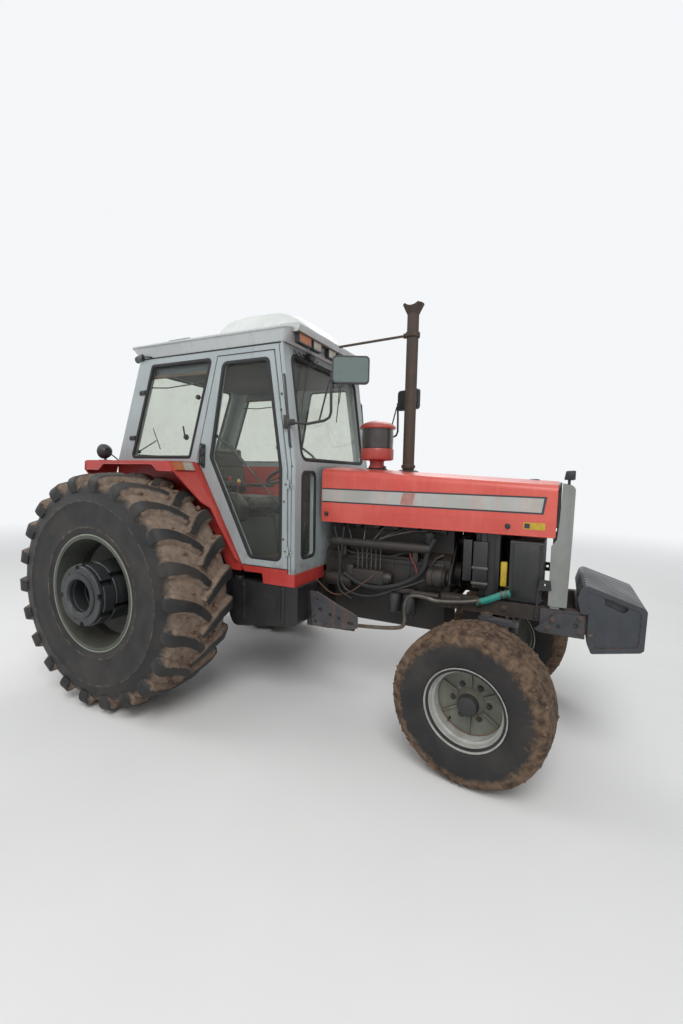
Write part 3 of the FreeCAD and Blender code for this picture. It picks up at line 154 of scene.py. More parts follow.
def makeSettledDust():
    group, given, out = newGroup("settledDust", dict(Amount=0.5, Scale=9.0), "Mask")
    up = put(group, "ShaderNodeSeparateXYZ",
             {0: put(group, "ShaderNodeNewGeometry").outputs["Normal"]}).outputs[2]
    facing = ramped(group, up, -0.1, 0.9, 0.12, 1.0)
    cloud = put(group, "ShaderNodeTexNoise", {"Vector": objectPlace(group), "Scale": given["Scale"],
                                              "Detail": 6.0, "Roughness": 0.65}).outputs[0]
    mask = sums(group, "MULTIPLY", sums(group, "MULTIPLY", facing, ramped(group, cloud, 0.3, 0.7)),
                given["Amount"], True)
    group.links.new(mask, out.inputs[0])
    return group


def makeSplashedMud():
    group, given, out = newGroup("splashedMud", dict(Height=0.9, Spread=0.5, Scale=14.0), "Mask")
    height = put(group, "ShaderNodeSeparateXYZ", {0: objectPlace(group)}).outputs[2]
    below = sums(group, "DIVIDE", sums(group, "SUBTRACT", given["Height"], height), given["Spread"], True)
    cloud = put(group, "ShaderNodeTexNoise", {"Vector": objectPlace(group), "Scale": given["Scale"],
                                              "Detail": 8.0, "Roughness": 0.7}).outputs[0]
    level = sums(group, "ADD", cloud, sums(group, "MULTIPLY", below, 0.45))
    group.links.new(sums(group, "MULTIPLY", ramped(group, level, 0.68, 0.84), below), out.inputs[0])
    return group


def makeRunStreaks():
    group, given, out = newGroup("runStreaks", dict(Scale=22.0, Amount=0.5), "Mask")
    cloud = put(group, "ShaderNodeTexNoise", {"Vector": objectPlace(group, (1, 1, 0.07)),
                                              "Scale": given["Scale"], "Detail": 5.0}).outputs[0]
    mask = sums(group, "MULTIPLY", ramped(group, cloud, 0.5, 0.72), given["Amount"])
    group.links.new(mask, out.inputs[0])
    return group


def makeSurfaceGrain():
    group, given, out = newGroup("surfaceGrain", dict(Scale=260.0, Waves=3.0), "Height")
    place = objectPlace(group)
    fine = put(group, "ShaderNodeTexNoise", {"Vector": place, "Scale": given["Scale"], "Detail": 3.0})
    wide = put(group, "ShaderNodeTexNoise", {"Vector": place, "Scale": given["Waves"], "Detail": 1.0})
    total = sums(group, "ADD", sums(group, "MULTIPLY", fine.outputs[0], 0.25), wide.outputs[0])
    group.links.new(total, out.inputs[0])
    return group


blotches, wornEdges, settledDust = makeBlotches(), makeWornEdges(), makeSettledDust()
splashedMud, runStreaks, surfaceGrain = makeSplashedMud(), makeRunStreaks(), makeSurfaceGrain()


def effect(tree, group, **values):
    node = tree.nodes.new("ShaderNodeGroup")
    node.node_tree = group
    for key, value in values.items():
        node.inputs[key].default_value = value
    return node.outputs[0]


# finishes: base and tone are the two colours that drift into each other
finishLooks = {
    "fadedRed": dict(base="c8463c", tone="d25a4e", drift=2.2, rough=0.36, worn="8c4038", edge=0.6,
                     dust="c4937f", dusty=0.18, streak="d98474", streaky=0.14, mudTop=0.2, coat=0.25),
    "deepRed": dict(base="b2302c", tone="c0423b", drift=2.6, rough=0.40, worn="5f3a34", edge=0.8,
                    dust="a88a78", dusty=0.25, streak="c65a50", streaky=0.15, mudTop=0.9, coat=0.12),
    "cleanerRed": dict(base="a93a33", tone="b84c43", drift=6.0, rough=0.42, worn="5a3a34", edge=0.6,
                       dust="9a7f70", dusty=0.35, streak="8c3a34", streaky=0.3, mudTop=0.2, coat=0.1),
    "cabGrey": dict(base="9aa3a5", tone="a8b0b1", drift=1.8, rough=0.42, worn="6a5a50", edge=0.8,
                    dust="86827a", dusty=0.28, streak="7f8486", streaky=0.28, mudTop=1.3, coat=0.10),
    "noseGrey": dict(base="8b8f8c", tone="7d807c", drift=3.0, rough=0.45, worn="6a5a50", edge=0.7,
                     dust="7c766c", dusty=0.35, streak="6b6a64", streaky=0.35, mudTop=1.2, coat=0.05),
    "roofWhite": dict(base="c6caca", tone="b3b8b9", drift=1.4, rough=0.48, worn="8f8c86", edge=0.6,
                      dust="a9a79c", dusty=0.40, streak="9fa19c", streaky=0.35, mudTop=0.2, coat=0.0),
    "domeWhite": dict(base="e3e6e4", tone="d3d8d6", drift=2.4, rough=0.40, worn="b5b5ae", edge=0.3,
                      dust="b8b6aa", dusty=0.35, streak="bcbdb6", streaky=0.35, mudTop=0.2, coat=0.15),
    # painted shade under the roof visor; the same brown also colours the rail below each side shade bar
    "visorShadeAndRailBrown": dict(base="4a3f38", tone="5a4a3f", drift=5.0, rough=0.6, worn="6a5648", edge=0.4,
                       dust="6f6456", dusty=0.3, streak="3a302a", streaky=0.3, mudTop=0.2, coat=0.0),
    "shadeBlue": dict(base="3c434b", tone="4a525b", drift=4.0, rough=0.4, worn="5c5650", edge=0.4,
                      dust="6c6a64", dusty=0.3, streak="33373c", streaky=0.2, mudTop=0.2, coat=0.1),
    "rimGrey": dict(base="b6b8b5", tone="9b9d99", drift=7.0, rough=0.42, worn="6d5747", edge=0.7,
                    dust="8d8072", dusty=0.35, streak="84806f", streaky=0.30, mudTop=0.2, coat=0.0),
    # rear rim paint darkened into a painted shade for the rims' shaded dish
    "rimPaintedShade": dict(base="4b4f48", tone="393c36", drift=5.0, rough=0.50, worn="54463a", edge=0.6,
                     dust="675c50", dusty=0.45, streak="3f3c35", streaky=0.4, mudTop=0.2, coat=0.0),
    "rimLip": dict(base="8f9a8c", tone="7d8476", drift=6.0, rough=0.5, worn="6d5747", edge=0.5,
                   dust="8a7a66", dusty=0.4, streak="6d6a58", streaky=0.3, mudTop=0.2, coat=0.0),
    "discOlive": dict(base="73766c", tone="62655a", drift=7.0, rough=0.52, worn="5d4a3c", edge=0.7,
                      dust="7c7060", dusty=0.5, streak="55503f", streaky=0.4, mudTop=0.3, coat=0.0),
    "castBlack": dict(base="474a4f", tone="3a3d42", drift=5.0, rough=0.55, worn="7b5f4b", edge=0.75,
                      dust="7c7163", dusty=0.40, streak="5f5a54", streaky=0.2, mudTop=0.8, coat=0.0,
                      grain=420, bump=0.25),
    "weightGrey": dict(base="2c2f33", tone="23262a", drift=6.0, rough=0.42, worn="5f4a3a", edge=0.45,
                       dust="5c5850", dusty=0.22, streak="68635c", streaky=0.2, mudTop=0.2, coat=0.0,
                       grain=420, bump=0.2),
    "weightDark": dict(base="34393f", tone="2b3036", drift=5.0, rough=0.46, worn="8a5f42", edge=0.5,
                       dust="64605a", dusty=0.25, streak="54504c", streaky=0.2, mudTop=0.75, coat=0.05,
                       grain=420, bump=0.2),
    "greasyIron": dict(base="1c1a19", tone="2b2522", drift=7.0, rough=0.55, worn="5a4a3e", edge=0.5,
                       dust="4d4136", dusty=0.40, streak="121110", streaky=0.5, mudTop=0.5, coat=0.05,
                       grain=300, bump=0.5),
    "frameBrown": dict(base="2c2826", tone="40352d", drift=6.0, rough=0.62, worn="684e3d", edge=0.7,
                       dust="63533f", dusty=0.45, streak="211d1b", streaky=0.4, mudTop=0.9, coat=0.0,
                       grain=300, bump=0.4),
    "plateBlue": dict(base="3c4046", tone="33373c", drift=6.0, rough=0.55, worn="7d4f38", edge=0.9,
                      dust="7a6e60", dusty=0.45, streak="6d4c3a", streaky=0.4, mudTop=0.9, coat=0.0),
    "blackSheet": dict(base="191a1c", tone="232427", drift=5.0, rough=0.46, worn="51453d", edge=0.5,
                       dust="544e45", dusty=0.28, streak="2c2b2a", streaky=0.3, mudTop=0.75, coat=0.05),
    "blackPlastic": dict(base="1d1e20", tone="2a2b2d", drift=9.0, rough=0.48, worn="4a4845", edge=0.4,
                         dust="6a6660", dusty=0.35, streak="2f2f2f", streaky=0.2, mudTop=0.3, coat=0.0,
                         grain=700, bump=0.3),
    # rubber seals, hoses and leads, and also the painted shade disc inside the wheel weights' bore
    "rubberSealAndBoreShade": dict(base="17181a", tone="242527", drift=12.0, rough=0.72, worn="3a3835", edge=0.3,
                       dust="5b5751", dusty=0.35, streak="26262a", streaky=0.2, mudTop=0.3, coat=0.0,
                       grain=600, bump=0.2),
    "rustyPipe": dict(base="3a322d", tone="4c3d33", drift=9.0, rough=0.75, worn="7a5238", edge=0.6,
                      dust="5f5246", dusty=0.25, streak="241f1c", streaky=0.6, mudTop=0.2, coat=0.0,
                      grain=260, bump=0.5),
    "bowlDark": dict(base="2c2827", tone="3b3431", drift=6.0, rough=0.35, worn="4a403a", edge=0.3,
                     dust="6d6055", dusty=0.45, streak="564a42", streaky=0.4, mudTop=0.2, coat=0.4),
    "barePin": dict(base="8a8781", tone="6f6860", drift=12.0, rough=0.40, worn="5a4030", edge=0.5,
                    dust="6d5f4f", dusty=0.4, streak="54463a", streaky=0.4, mudTop=0.6, coat=0.0, metal=1.0),
    "dullSteel": dict(base="77746f", tone="5c5853", drift=10.0, rough=0.5, worn="5d4433", edge=0.6,
                      dust="6f6354", dusty=0.5, streak="4c433b", streaky=0.4, mudTop=1.0, coat=0.0, metal=0.7),
    "liningDark": dict(base="2b2926", tone="3a3632", drift=6.0, rough=0.85, worn="4c4640", edge=0.3,
                       dust="5f584e", dusty=0.3, streak="24221f", streaky=0.3, mudTop=0.2, coat=0.0,
                       grain=500, bump=0.6),
    "floorBrown": dict(base="342d27", tone="4a3e34", drift=8.0, rough=0.9, worn="54463a", edge=0.3,
                       dust="75644f", dusty=0.6, streak="2a2521", streaky=0.3, mudTop=0.2, coat=0.0,
                       grain=300, bump=0.8),
    "dialPale": dict(base="b9b7a8", tone="8f8d80", drift=30.0, rough=0.35, worn="6a6860", edge=0.2,
                     dust="8a8474", dusty=0.3, streak="77756a", streaky=0.2, mudTop=0.2, coat=0.3),
    "knobRed": dict(base="a8302a", tone="8f2823", drift=20.0, rough=0.45, worn="5f2a26", edge=0.3,
                    dust="8a7264", dusty=0.3, streak="7a2a26", streaky=0.2, mudTop=0.2, coat=0.2),
    "tealHose": dict(base="23857a", tone="2f9a8c", drift=9.0, rough=0.5, worn="1d5f58", edge=0.3,
                     dust="6f7a6c", dusty=0.4, streak="1d6a60", streaky=0.2, mudTop=0.2, coat=0.0),
    "brownWire": dict(base="6a4a34", tone="57402f", drift=20.0, rough=0.6, worn="4a3628", edge=0.2,
                      dust="6f5f4c", dusty=0.4, streak="4a3a2c", streaky=0.2, mudTop=0.2, coat=0.0),
    "redWire": dict(base="9a2f2a", tone="7d2a26", drift=20.0, rough=0.55, worn="5a2a26", edge=0.2,
                    dust="7a6454", dusty=0.4, streak="6a2a26", streaky=0.2, mudTop=0.2, coat=0.0),
    "stickerYellow": dict(base="cfb02c", tone="b89a2a", drift=20.0, rough=0.5, worn="8a7430", edge=0.3,
                          dust="a08c58", dusty=0.35, streak="a3862f", streaky=0.3, mudTop=0.2, coat=0.1),
    "bandPale": dict(base="b0b1ad", tone="a1a19c", drift=4.0, rough=0.42, worn="c46a58", edge=0.2,
                     dust="b3a798", dusty=0.25, streak="c98a78", streaky=0.35, mudTop=0.2, coat=0.1),
    "bandWorn": dict(base="b39088", tone="a6736a", drift=14.0, rough=0.5, worn="8c4038", edge=0.2,
                     dust="a89488", dusty=0.25, streak="98645c", streaky=0.4, mudTop=0.2, coat=0.0),
    # dark of the bonnet stripe and sticker, and also the painted shade on the floor of the front weights' grips
    "bandDarkAndGripShade": dict(base="262a30", tone="33373c", drift=9.0, rough=0.45, worn="5a4a46", edge=0.2,
                     dust="6a655e", dusty=0.2, streak="3b3b3d", streaky=0.2, mudTop=0.2, coat=0.1),
    "dryMud": dict(base="5e4a3b", tone="806753", drift=12.0, rough=0.92, worn="94795f", edge=0.2,
                   dust="94795f", dusty=0.3, streak="4e3e32", streaky=0.3, mudTop=0.2, coat=0.0,
                   grain=180, bump=1.0),
}
madeFinishes = {}


def finish(name):
    if name in madeFinishes:
        return madeFinishes[name]
    look = finishLooks[name]
    material = bpy.data.materials.new(name)
    material.use_nodes = True
    tree = material.node_tree
    tree.nodes.clear()
    drift = effect(tree, blotches, Scale=look["drift"], Detail=4.0, Low=0.36, High=0.64)
    colour = blendColour(tree, drift, shade(look["base"]), shade(look["tone"]))
    streak = effect(tree, runStreaks, Scale=26.0, Amount=look["streaky"])
    colour = blendColour(tree, streak, colour, shade(look["streak"]))
    edge = effect(tree, wornEdges, Width=0.005, Amount=look["edge"], Scale=34.0)
    colour = blendColour(tree, edge, colour, shade(look["worn"]))
    dust = effect(tree, settledDust, Amount=look["dusty"], Scale=8.0)
    colour = blendColour(tree, dust, colour, shade(look["dust"]))
    mud = effect(tree, splashedMud, Height=look["mudTop"], Spread=0.55, Scale=13.0)
    colour = blendColour(tree, mud, colour, shade("705a47"))
    rough = ramped(tree, drift, 0.0, 1.0, look["rough"] - 0.06, look["rough"] + 0.08)
    rough = sums(tree, "MAXIMUM", rough, sums(tree, "MULTIPLY", sums(tree, "MAXIMUM", dust, mud), 0.85), True)
    grain = effect(tree, surfaceGrain, Scale=look.get("grain", 320), Waves=3.0)
    height = sums(tree, "ADD", sums(tree, "MULTIPLY", grain, look.get("bump", 0.12)), mud)
    bump = put(tree, "ShaderNodeBump", {"Height": height, "Strength": 0.5, "Distance": 0.003})
    shader = put(tree, "ShaderNodeBsdfPrincipled", {
        "Base Color": colour, "Roughness": rough, "Metallic": look.get("metal", 0.0),
        "Coat Weight": look["coat"], "Coat Roughness": 0.25, "Normal": bump.outputs[0]})
    put(tree, "ShaderNodeOutputMaterial", {"Surface": shader.outputs[0]})
    madeFinishes[name] = material
    return material


def paneFinish(name, tint, grimy, see):
    material = bpy.data.materials.new(name)
    material.use_nodes = True
    tree = material.node_tree
    tree.nodes.clear()
    film = effect(tree, blotches, Scale=3.0, Detail=8.0, Low=0.42, High=0.78)
    wiped = effect(tree, blotches, Scale=34.0, Detail=6.0, Low=0.5, High=0.8)
    dirt = sums(tree, "MULTIPLY", sums(tree, "ADD", film, wiped, True), grimy)
    colour = blendColour(tree, dirt, shade(tint), shade("8f8a7c"))
    rough = ramped(tree, dirt, 0.0, 1.0, 0.03, 0.55)
    shader = put(tree, "ShaderNodeBsdfPrincipled", {
        "Base Color": colour, "Roughness": rough, "Transmission Weight": see, "IOR": 1.12,
        "Specular IOR Level": 0.4, "Coat Weight": 0.08, "Coat Roughness": 0.02})
    clear = put(tree, "ShaderNodeBsdfTransparent", {"Color": (0.82, 0.84, 0.82, 1)})
    shadow = put(tree, "ShaderNodeLightPath").outputs["Is Shadow Ray"]
    both = put(tree, "ShaderNodeMixShader", {0: shadow, 1: shader.outputs[0], 2: clear.outputs[0]})
    put(tree, "ShaderNodeOutputMaterial", {"Surface": both.outputs[0]})
    madeFinishes[name] = material
    return material


def lensFinish(name, tint, deep, glow):
    material = bpy.data.materials.new(name)
    material.use_nodes = True
    tree = material.node_tree
    tree.nodes.clear()
    ribs = put(tree, "ShaderNodeTexWave", {"Vector": objectPlace(tree), "Scale": 38.0, "Distortion": 0.4},
               bands_direction="Y")
    drift = effect(tree, blotches, Scale=22.0, Detail=4.0, Low=0.35, High=0.7)
    colour = blendColour(tree, drift, shade(tint), shade(deep))
    dust = effect(tree, settledDust, Amount=0.4, Scale=30.0)
    colour = blendColour(tree, dust, colour, shade("b0a48e"))
    bump = put(tree, "ShaderNodeBump", {"Height": ribs.outputs[1], "Strength": 0.6, "Distance": 0.003})
    shader = put(tree, "ShaderNodeBsdfPrincipled", {
        "Base Color": colour, "Roughness": 0.22, "Transmission Weight": glow, "IOR": 1.4,
        "Coat Weight": 0.5, "Coat Roughness": 0.05, "Normal": bump.outputs[0]})
    put(tree, "ShaderNodeOutputMaterial", {"Surface": shader.outputs[0]})
    madeFinishes[name] = material
    return material


def mirrorFinish():
    material = bpy.data.materials.new("mirrorGlass")
    material.use_nodes = True
    tree = material.node_tree
    tree.nodes.clear()
    film = effect(tree, blotches, Scale=26.0, Detail=7.0, Low=0.55, High=0.85)
    colour = blendColour(tree, film, shade("77827f"), shade("666b66"))
    shader = put(tree, "ShaderNodeBsdfPrincipled", {
        "Base Color": colour, "Roughness": ramped(tree, film, 0.0, 1.0, 0.02, 0.4), "Metallic": 1.0})
    put(tree, "ShaderNodeOutputMaterial", {"Surface": shader.outputs[0]})
    madeFinishes["mirrorGlass"] = material


# rubber that carries mud where its mesh says so: the attribute runs from bare, 0, to caked, 1
def rubberFinish(name, rubber, soil, spread):
    material = bpy.data.materials.new(name)
    material.use_nodes = True
    tree = material.node_tree
    tree.nodes.clear()
    caked = put(tree, "ShaderNodeAttribute", attribute_name="mud").outputs["Fac"]
    cloud = put(tree, "ShaderNodeTexNoise", {"Vector": objectPlace(tree), "Scale": 16.0, "Detail": 8.0,
                                             "Roughness": 0.68}).outputs[0]
    level = sums(tree, "ADD", caked, sums(tree, "MULTIPLY", sums(tree, "SUBTRACT", cloud, 0.5), spread))
    mask = ramped(tree, level, 0.30, 0.62)
    drift = effect(tree, blotches, Scale=7.0, Detail=6.0, Low=0.35, High=0.7)
    bare = blendColour(tree, drift, shade(rubber[0]), shade(rubber[1]))
    film = effect(tree, blotches, Scale=3.0, Detail=5.0, Low=0.45, High=0.8)
    bare = blendColour(tree, sums(tree, "MULTIPLY", film, 0.25), bare, shade("6c5f54"))
    wet = effect(tree, blotches, Scale=24.0, Detail=7.0, Low=0.35, High=0.62)
    earth = blendColour(tree, wet, shade(soil[0]), shade(soil[1]))
    colour = blendColour(tree, mask, bare, earth)
    fine = put(tree, "ShaderNodeTexNoise", {"Vector": objectPlace(tree), "Scale": 90.0, "Detail": 8.0,
                                            "Roughness": 0.7}).outputs[0]
    height = sums(tree, "ADD", sums(tree, "MULTIPLY", mask, sums(tree, "ADD", cloud, fine)),
                  sums(tree, "MULTIPLY", fine, 0.12))
    bump = put(tree, "ShaderNodeBump", {"Height": height, "Strength": 0.8, "Distance": 0.008})
    rough = ramped(tree, mask, 0.0, 1.0, 0.58, 0.93)
    shader = put(tree, "ShaderNodeBsdfPrincipled", {
        "Base Color": colour, "Roughness": rough, "Normal": bump.outputs[0], "Specular IOR Level": 0.35})
    put(tree, "ShaderNodeOutputMaterial", {"Surface": shader.outputs[0]})
    madeFinishes[name] = material


def fabricFinish():
    material = bpy.data.materials.new("seatCloth")
    material.use_nodes = True
    tree = material.node_tree
    tree.nodes.clear()
    place = objectPlace(tree)
    across = put(tree, "ShaderNodeTexWave", {"Vector": place, "Scale": 190.0, "Distortion": 1.0},
                 bands_direction="Y").outputs[1]
    along = put(tree, "ShaderNodeTexWave", {"Vector": place, "Scale": 190.0, "Distortion": 1.0},
                bands_direction="X").outputs[1]
    weave = sums(tree, "MULTIPLY", across, along)
    drift = effect(tree, blotches, Scale=8.0, Detail=6.0, Low=0.35, High=0.7)
    colour = blendColour(tree, drift, shade("2c2a2a"), shade("3f3a36"))
    dust = effect(tree, settledDust, Amount=0.4, Scale=12.0)
    colour = blendColour(tree, dust, colour, shade("6c6255"))
    bump = put(tree, "ShaderNodeBump", {"Height": weave, "Strength": 0.4, "Distance": 0.001})
    shader = put(tree, "ShaderNodeBsdfPrincipled", {
        "Base Color": colour, "Roughness": 0.82, "Sheen Weight": 0.25, "Normal": bump.outputs[0]})
    put(tree, "ShaderNodeOutputMaterial", {"Surface": shader.outputs[0]})
    madeFinishes["seatCloth"] = material


paneFinish("cabPane", "e6e9e3", 0.10, 0.98)
lensFinish("lampClear", "d6d2c4", "b9b29e", 0.35)
lensFinish("lampAmber", "d9791d", "b4530f", 0.30)
lensFinish("lampRed", "a02420", "6f1614", 0.30)
mirrorFinish()
rubberFinish("rearRubber", ("202021", "302f2e"), ("74655a", "917f6f"), 0.9)
rubberFinish("frontRubber", ("202021", "2e2c2b"), ("41342b", "7a6553"), 0.9)
fabricFinish()
print("finishes ready")

nodeFinishes = {
    "fadedRed": ["hood_panel_right", "hood_panel_left", "hood_spine"],
    "deepRed": ["fender_right", "fender_left", "cab_sill"],
    "cabGrey": ["cab_side_frame_right", "cab_side_frame_left", "cab_front_frame", "cab_rear_frame",
                "door_right", "door_left"],
    "noseGrey": ["nose_surround"],
    "roofWhite": ["cab_roof"],
    # the rear rims take the darkened rim paint, a painted shade
    "rimPaintedShade": ["rear_rim_right", "rear_rim_left"],
    "weightGrey": ["wheel_weights_right", "wheel_weights_left"],
    "castBlack": ["knuckle_right", "knuckle_left"],
    "greasyIron": ["engine_block", "transaxle_case", "engine_pipes", "tie_rod"],
    "frameBrown": ["front_frame", "front_axle_beam", "drawbar", "lift_arms", "lift_rods", "lower_links",
                   "top_link_bracket"],
    "plateBlue": ["weight_carrier"],
    "blackSheet": ["radiator", "battery_box", "side_tanks", "cab_floor"],
    "blackPlastic": ["nose_grille"],
    "barePin": ["pto_shaft"],
    "cabPane": ["cab_glass", "door_glass_right", "door_glass_left"],
    "lampClear": ["lamps_clear"],
    "lampAmber": ["lamps_amber"],
    "rustyPipe": ["exhaust_stack"],
    "rearRubber": ["rear_tyre_right", "rear_tyre_left"],
    "frontRubber": ["front_tyre_right", "front_tyre_left"],
}
for finishName, names in nodeFinishes.items():
    for nodeName in names:
        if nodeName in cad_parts:
            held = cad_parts[nodeName].data.materials
            held.clear()
            held.append(finish(finishName))
# a node that no line above names still gets a real finish
for nodeName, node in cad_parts.items():
    if not any(nodeName in names for names in nodeFinishes.values()):
        node.data.materials.clear()
        node.data.materials.append(finish("blackSheet"))
print("nodes dressed")


# mesh making: a Form gathers closed shapes and becomes one piece
class Form:
    def __init__(self, name, finishName):
        self.name = name
        self.bm = bmesh.new()
        self.mud = self.bm.verts.layers.float.new("mud")
        self.names = [finishName]
        self.slot = 0

    def paint(self, finishName):
        if finishName not in self.names:
            self.names.append(finishName)
        self.slot = self.names.index(finishName)
        return self

    def absorb(self, points, faces, mud=None):
        made = [self.bm.verts.new(point) for point in points]
        if mud:
            for vert, value in zip(made, mud):
                vert[self.mud] = value
        for corners in faces:
            if len(set(corners)) < 3:
                continue
            face = self.bm.faces.new([made[k] for k in corners])
            face.material_index = self.slot
            face.smooth = True

    # rings of points, joined to each other; a closed line joins the last ring to the first
    def skin(self, rings, closedLine=False, capped=True, mud=None):
        count = len(rings[0])
        points = [point for ring in rings for point in ring]
        faces = []
        last = len(rings) if closedLine else len(rings) - 1
        for row in range(last):
            low, high = row * count, (row + 1) % len(rings) * count
            for k in range(count):
                near = (k + 1) % count
                faces.append((low + k, low + near, high + near, high + k))
        if capped and not closedLine:
            faces.append(tuple(range(count))[::-1])
            faces.append(tuple(range((len(rings) - 1) * count, len(rings) * count)))
        self.absorb(points, faces, mud)

    # profile: (radius, along) in millimetres, turned about an axis through centre
    def turned(self, centre, axis, profile, segments=48, closed=False, warp=None):
        axis = Vector(axis).normalized()
        side = axis.orthogonal().normalized()
        other = axis.cross(side)
        rings = []
        for step in range(segments):
            angle = step * 2 * math.pi / segments
            ring = []
            for radius, along in profile:
                if warp:
                    radius, along = warp(radius, along, angle)
                out = side * math.cos(angle) + other * math.sin(angle)
                ring.append(centre + axis * (along / 1000) + out * (max(radius, 0.01) / 1000))
            rings.append(ring)
        count = len(profile)
        points = [point for ring in rings for point in ring]
        faces = []
        for step in range(segments):
            low, high = step * count, (step + 1) % segments * count
            for k in range(count if closed else count - 1):
                near = (k + 1) % count
                faces.append((low + k, low + near, high + near, high + k))
        if not closed:
            for k in (0, count - 1):
                if profile[k][0] > 0.01:
                    cap = [step * count + k for step in range(segments)]
                    faces.append(tuple(cap) if k else tuple(cap[::-1]))
        self.absorb(points, faces)
        return self

    def prism(self, corners, offset, bevel=0.0, segments=2):
        small = bmesh.new()
        base = [small.verts.new(corner) for corner in corners]
        face = small.faces.new(base)
        moved = bmesh.ops.extrude_face_region(small, geom=[face])
        lifted = [item for item in moved["geom"] if isinstance(item, bmesh.types.BMVert)]
        bmesh.ops.translate(small, verts=lifted, vec=offset)
        bmesh.ops.recalc_face_normals(small, faces=small.faces)
        if bevel:
            bmesh.ops.bevel(small, geom=small.edges[:], offset=bevel / 1000, segments=segments,
                            affect="EDGES", profile=0.5, clamp_overlap=True)
        small.verts.index_update()
        self.absorb([v.co.copy() for v in small.verts], [[v.index for v in f.verts] for f in small.faces])
        small.free()
        return self

    def block(self, low, high, bevel=3.0):
        x0, y0, z0 = low
        x1, y1, z1 = high
        corners = [spot(x0, y0, z0), spot(x1, y0, z0), spot(x1, y1, z0), spot(x0, y1, z0)]
        return self.prism(corners, Vector((0, 0, (z1 - z0) / 1000)), bevel)

    def pipe(self, points, radius, sides=12, closed=False):
        count = len(points)
        rings = []
        up = None
        for k, point in enumerate(points):
            before = points[k - 1] if (k or closed) else point
            after = points[(k + 1) % count] if (k < count - 1 or closed) else point
            ahead = (after - before).normalized()
            if up is None:
                up = ahead.orthogonal().normalized()
            up = (up - ahead * up.dot(ahead)).normalized()
            across = ahead.cross(up)
            size = radius[k] if isinstance(radius, (list, tuple)) else radius
            rings.append([point + (up * math.cos(a) + across * math.sin(a)) * (size / 1000)
                          for a in (2 * math.pi * n / sides for n in range(sides))])
        self.skin(rings, closedLine=closed)
        return self

    # a flat plate with holes; place turns (u, v, height) into a point
    def plate(self, loop, holes, place, thick):
        lines = [[Vector((u, v, 0)) for u, v in line] for line in [loop] + holes]
        flat = [point for line in lines for point in line]
        count = len(flat)
        points = [place(p.x, p.y, level) for level in (0, thick) for p in flat]
        cells = tessellate_polygon(lines)
        faces = [tuple(cell) for cell in cells] + [tuple(k + count for k in cell) for cell in cells]
        start = 0
        for line in lines:
            for k in range(len(line)):
                near, far = start + k, start + (k + 1) % len(line)
                faces.append((near, far, far + count, near + count))
            start += len(line)
        self.absorb(points, faces)
        return self

    def bolt(self, point, axis, size=16, washer=True):
        reach = size / 2
        if washer:
            self.turned(point, axis, [(0, -2), (reach * 1.5, -2), (reach * 1.5, 2), (reach * 1.35, 3), (0, 3)], 16)
        self.turned(point, axis, [(0, 0), (reach * 1.12, 0), (reach * 1.12, size * 0.5), (reach * 0.9, size * 0.62),
                                  (0, size * 0.62)], 6)
        return self

    def done(self, body, *replaced, crisp=34):
        bmesh.ops.remove_doubles(self.bm, verts=self.bm.verts, dist=0.00003)
        bmesh.ops.recalc_face_normals(self.bm, faces=self.bm.faces)
        mesh = bpy.data.meshes.new(self.name)
        self.bm.to_mesh(mesh)
        self.bm.free()
        for finishName in self.names:
            mesh.materials.append(finish(finishName))
        mesh.set_sharp_from_angle(angle=math.radians(crisp))
        piece = bpy.data.objects.new(self.name, mesh)
        scene.collection.objects.link(piece)
        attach(piece, body)
        if replaced:
            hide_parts(*replaced)
        return piece


# a bent line of pipe, hose or wire
def hose(name, finishName, body, points, thick, wavy=3):
    data = bpy.data.curves.new(name, "CURVE")
    data.dimensions = "3D"
    data.bevel_depth = thick / 2000
    data.bevel_resolution = 3
    data.resolution_u = 8
    data.use_fill_caps = True
    line = data.splines.new("NURBS")
    line.points.add(len(points) - 1)
    for place, held in zip(points, line.points):
        held.co = (*spot(*place), 1)
    line.order_u = wavy
    line.use_endpoint_u = True
    data.materials.append(finish(finishName))
    piece = bpy.data.objects.new(name, data)
    scene.collection.objects.link(piece)
    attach(piece, body)
    return piece


# corners (u, v, radius) of a flat loop, with each corner rounded in six steps
def roundedLoop(corners, steps=6):
    loop = []
    count = len(corners)
    for k, (u, v, radius) in enumerate(corners):
        here = Vector((u, v))
        back = (Vector(corners[k - 1][:2]) - here).normalized()
        ahead = (Vector(corners[(k + 1) % count][:2]) - here).normalized()
        half = back.angle(ahead) / 2
        if radius <= 0:
            loop.append(here)
            continue
        reach = radius / math.tan(half)
        middle = here + (back + ahead).normalized() * (radius / math.sin(half))
        start, end = here + back * reach - middle, here + ahead * reach - middle
        sweep = start.angle_signed(end)
        for step in range(steps + 1):
            turn = -sweep * step / steps
            loop.append(middle + Vector((start.x * math.cos(turn) - start.y * math.sin(turn),
                                         start.x * math.sin(turn) + start.y * math.cos(turn))))
    return loop


def circleLoop(u, v, radius, steps=20):
    return [(u + radius * math.cos(2 * math.pi * k / steps), v + radius * math.sin(2 * math.pi * k / steps))
            for k in range(steps)]


def roundedBox(u0, u1, v0, v1, radius):
    corners = [(u0, v0, radius), (u1, v0, radius), (u1, v1, radius), (u0, v1, radius)]
    return [(p.x, p.y) for p in roundedLoop(corners, 4)]


def seal(name, body, loop, across, deep, finishName="rubberSealAndBoreShade"):
    form = Form(name, finishName)
    count = len(loop)
    rings = []
    out = across.normalized()
    for k, point in enumerate(loop):
        ahead = (loop[(k + 1) % count] - loop[k - 1]).normalized()
        side = ahead.cross(out).normalized()
        rings.append([point + side * (u * deep[0] / 1000) + out * (v * deep[1] / 1000)
                      for u, v in ((-0.5, -0.5), (-0.5, 0.25), (-0.25, 0.5), (0.25, 0.5), (0.5, 0.25), (0.5, -0.5))])
    form.skin(rings, closedLine=True)
    return form.done(body)


# rear tyres
rearTyre = dict(radius=837, half=280, lugs=22, track=963, segments=264)
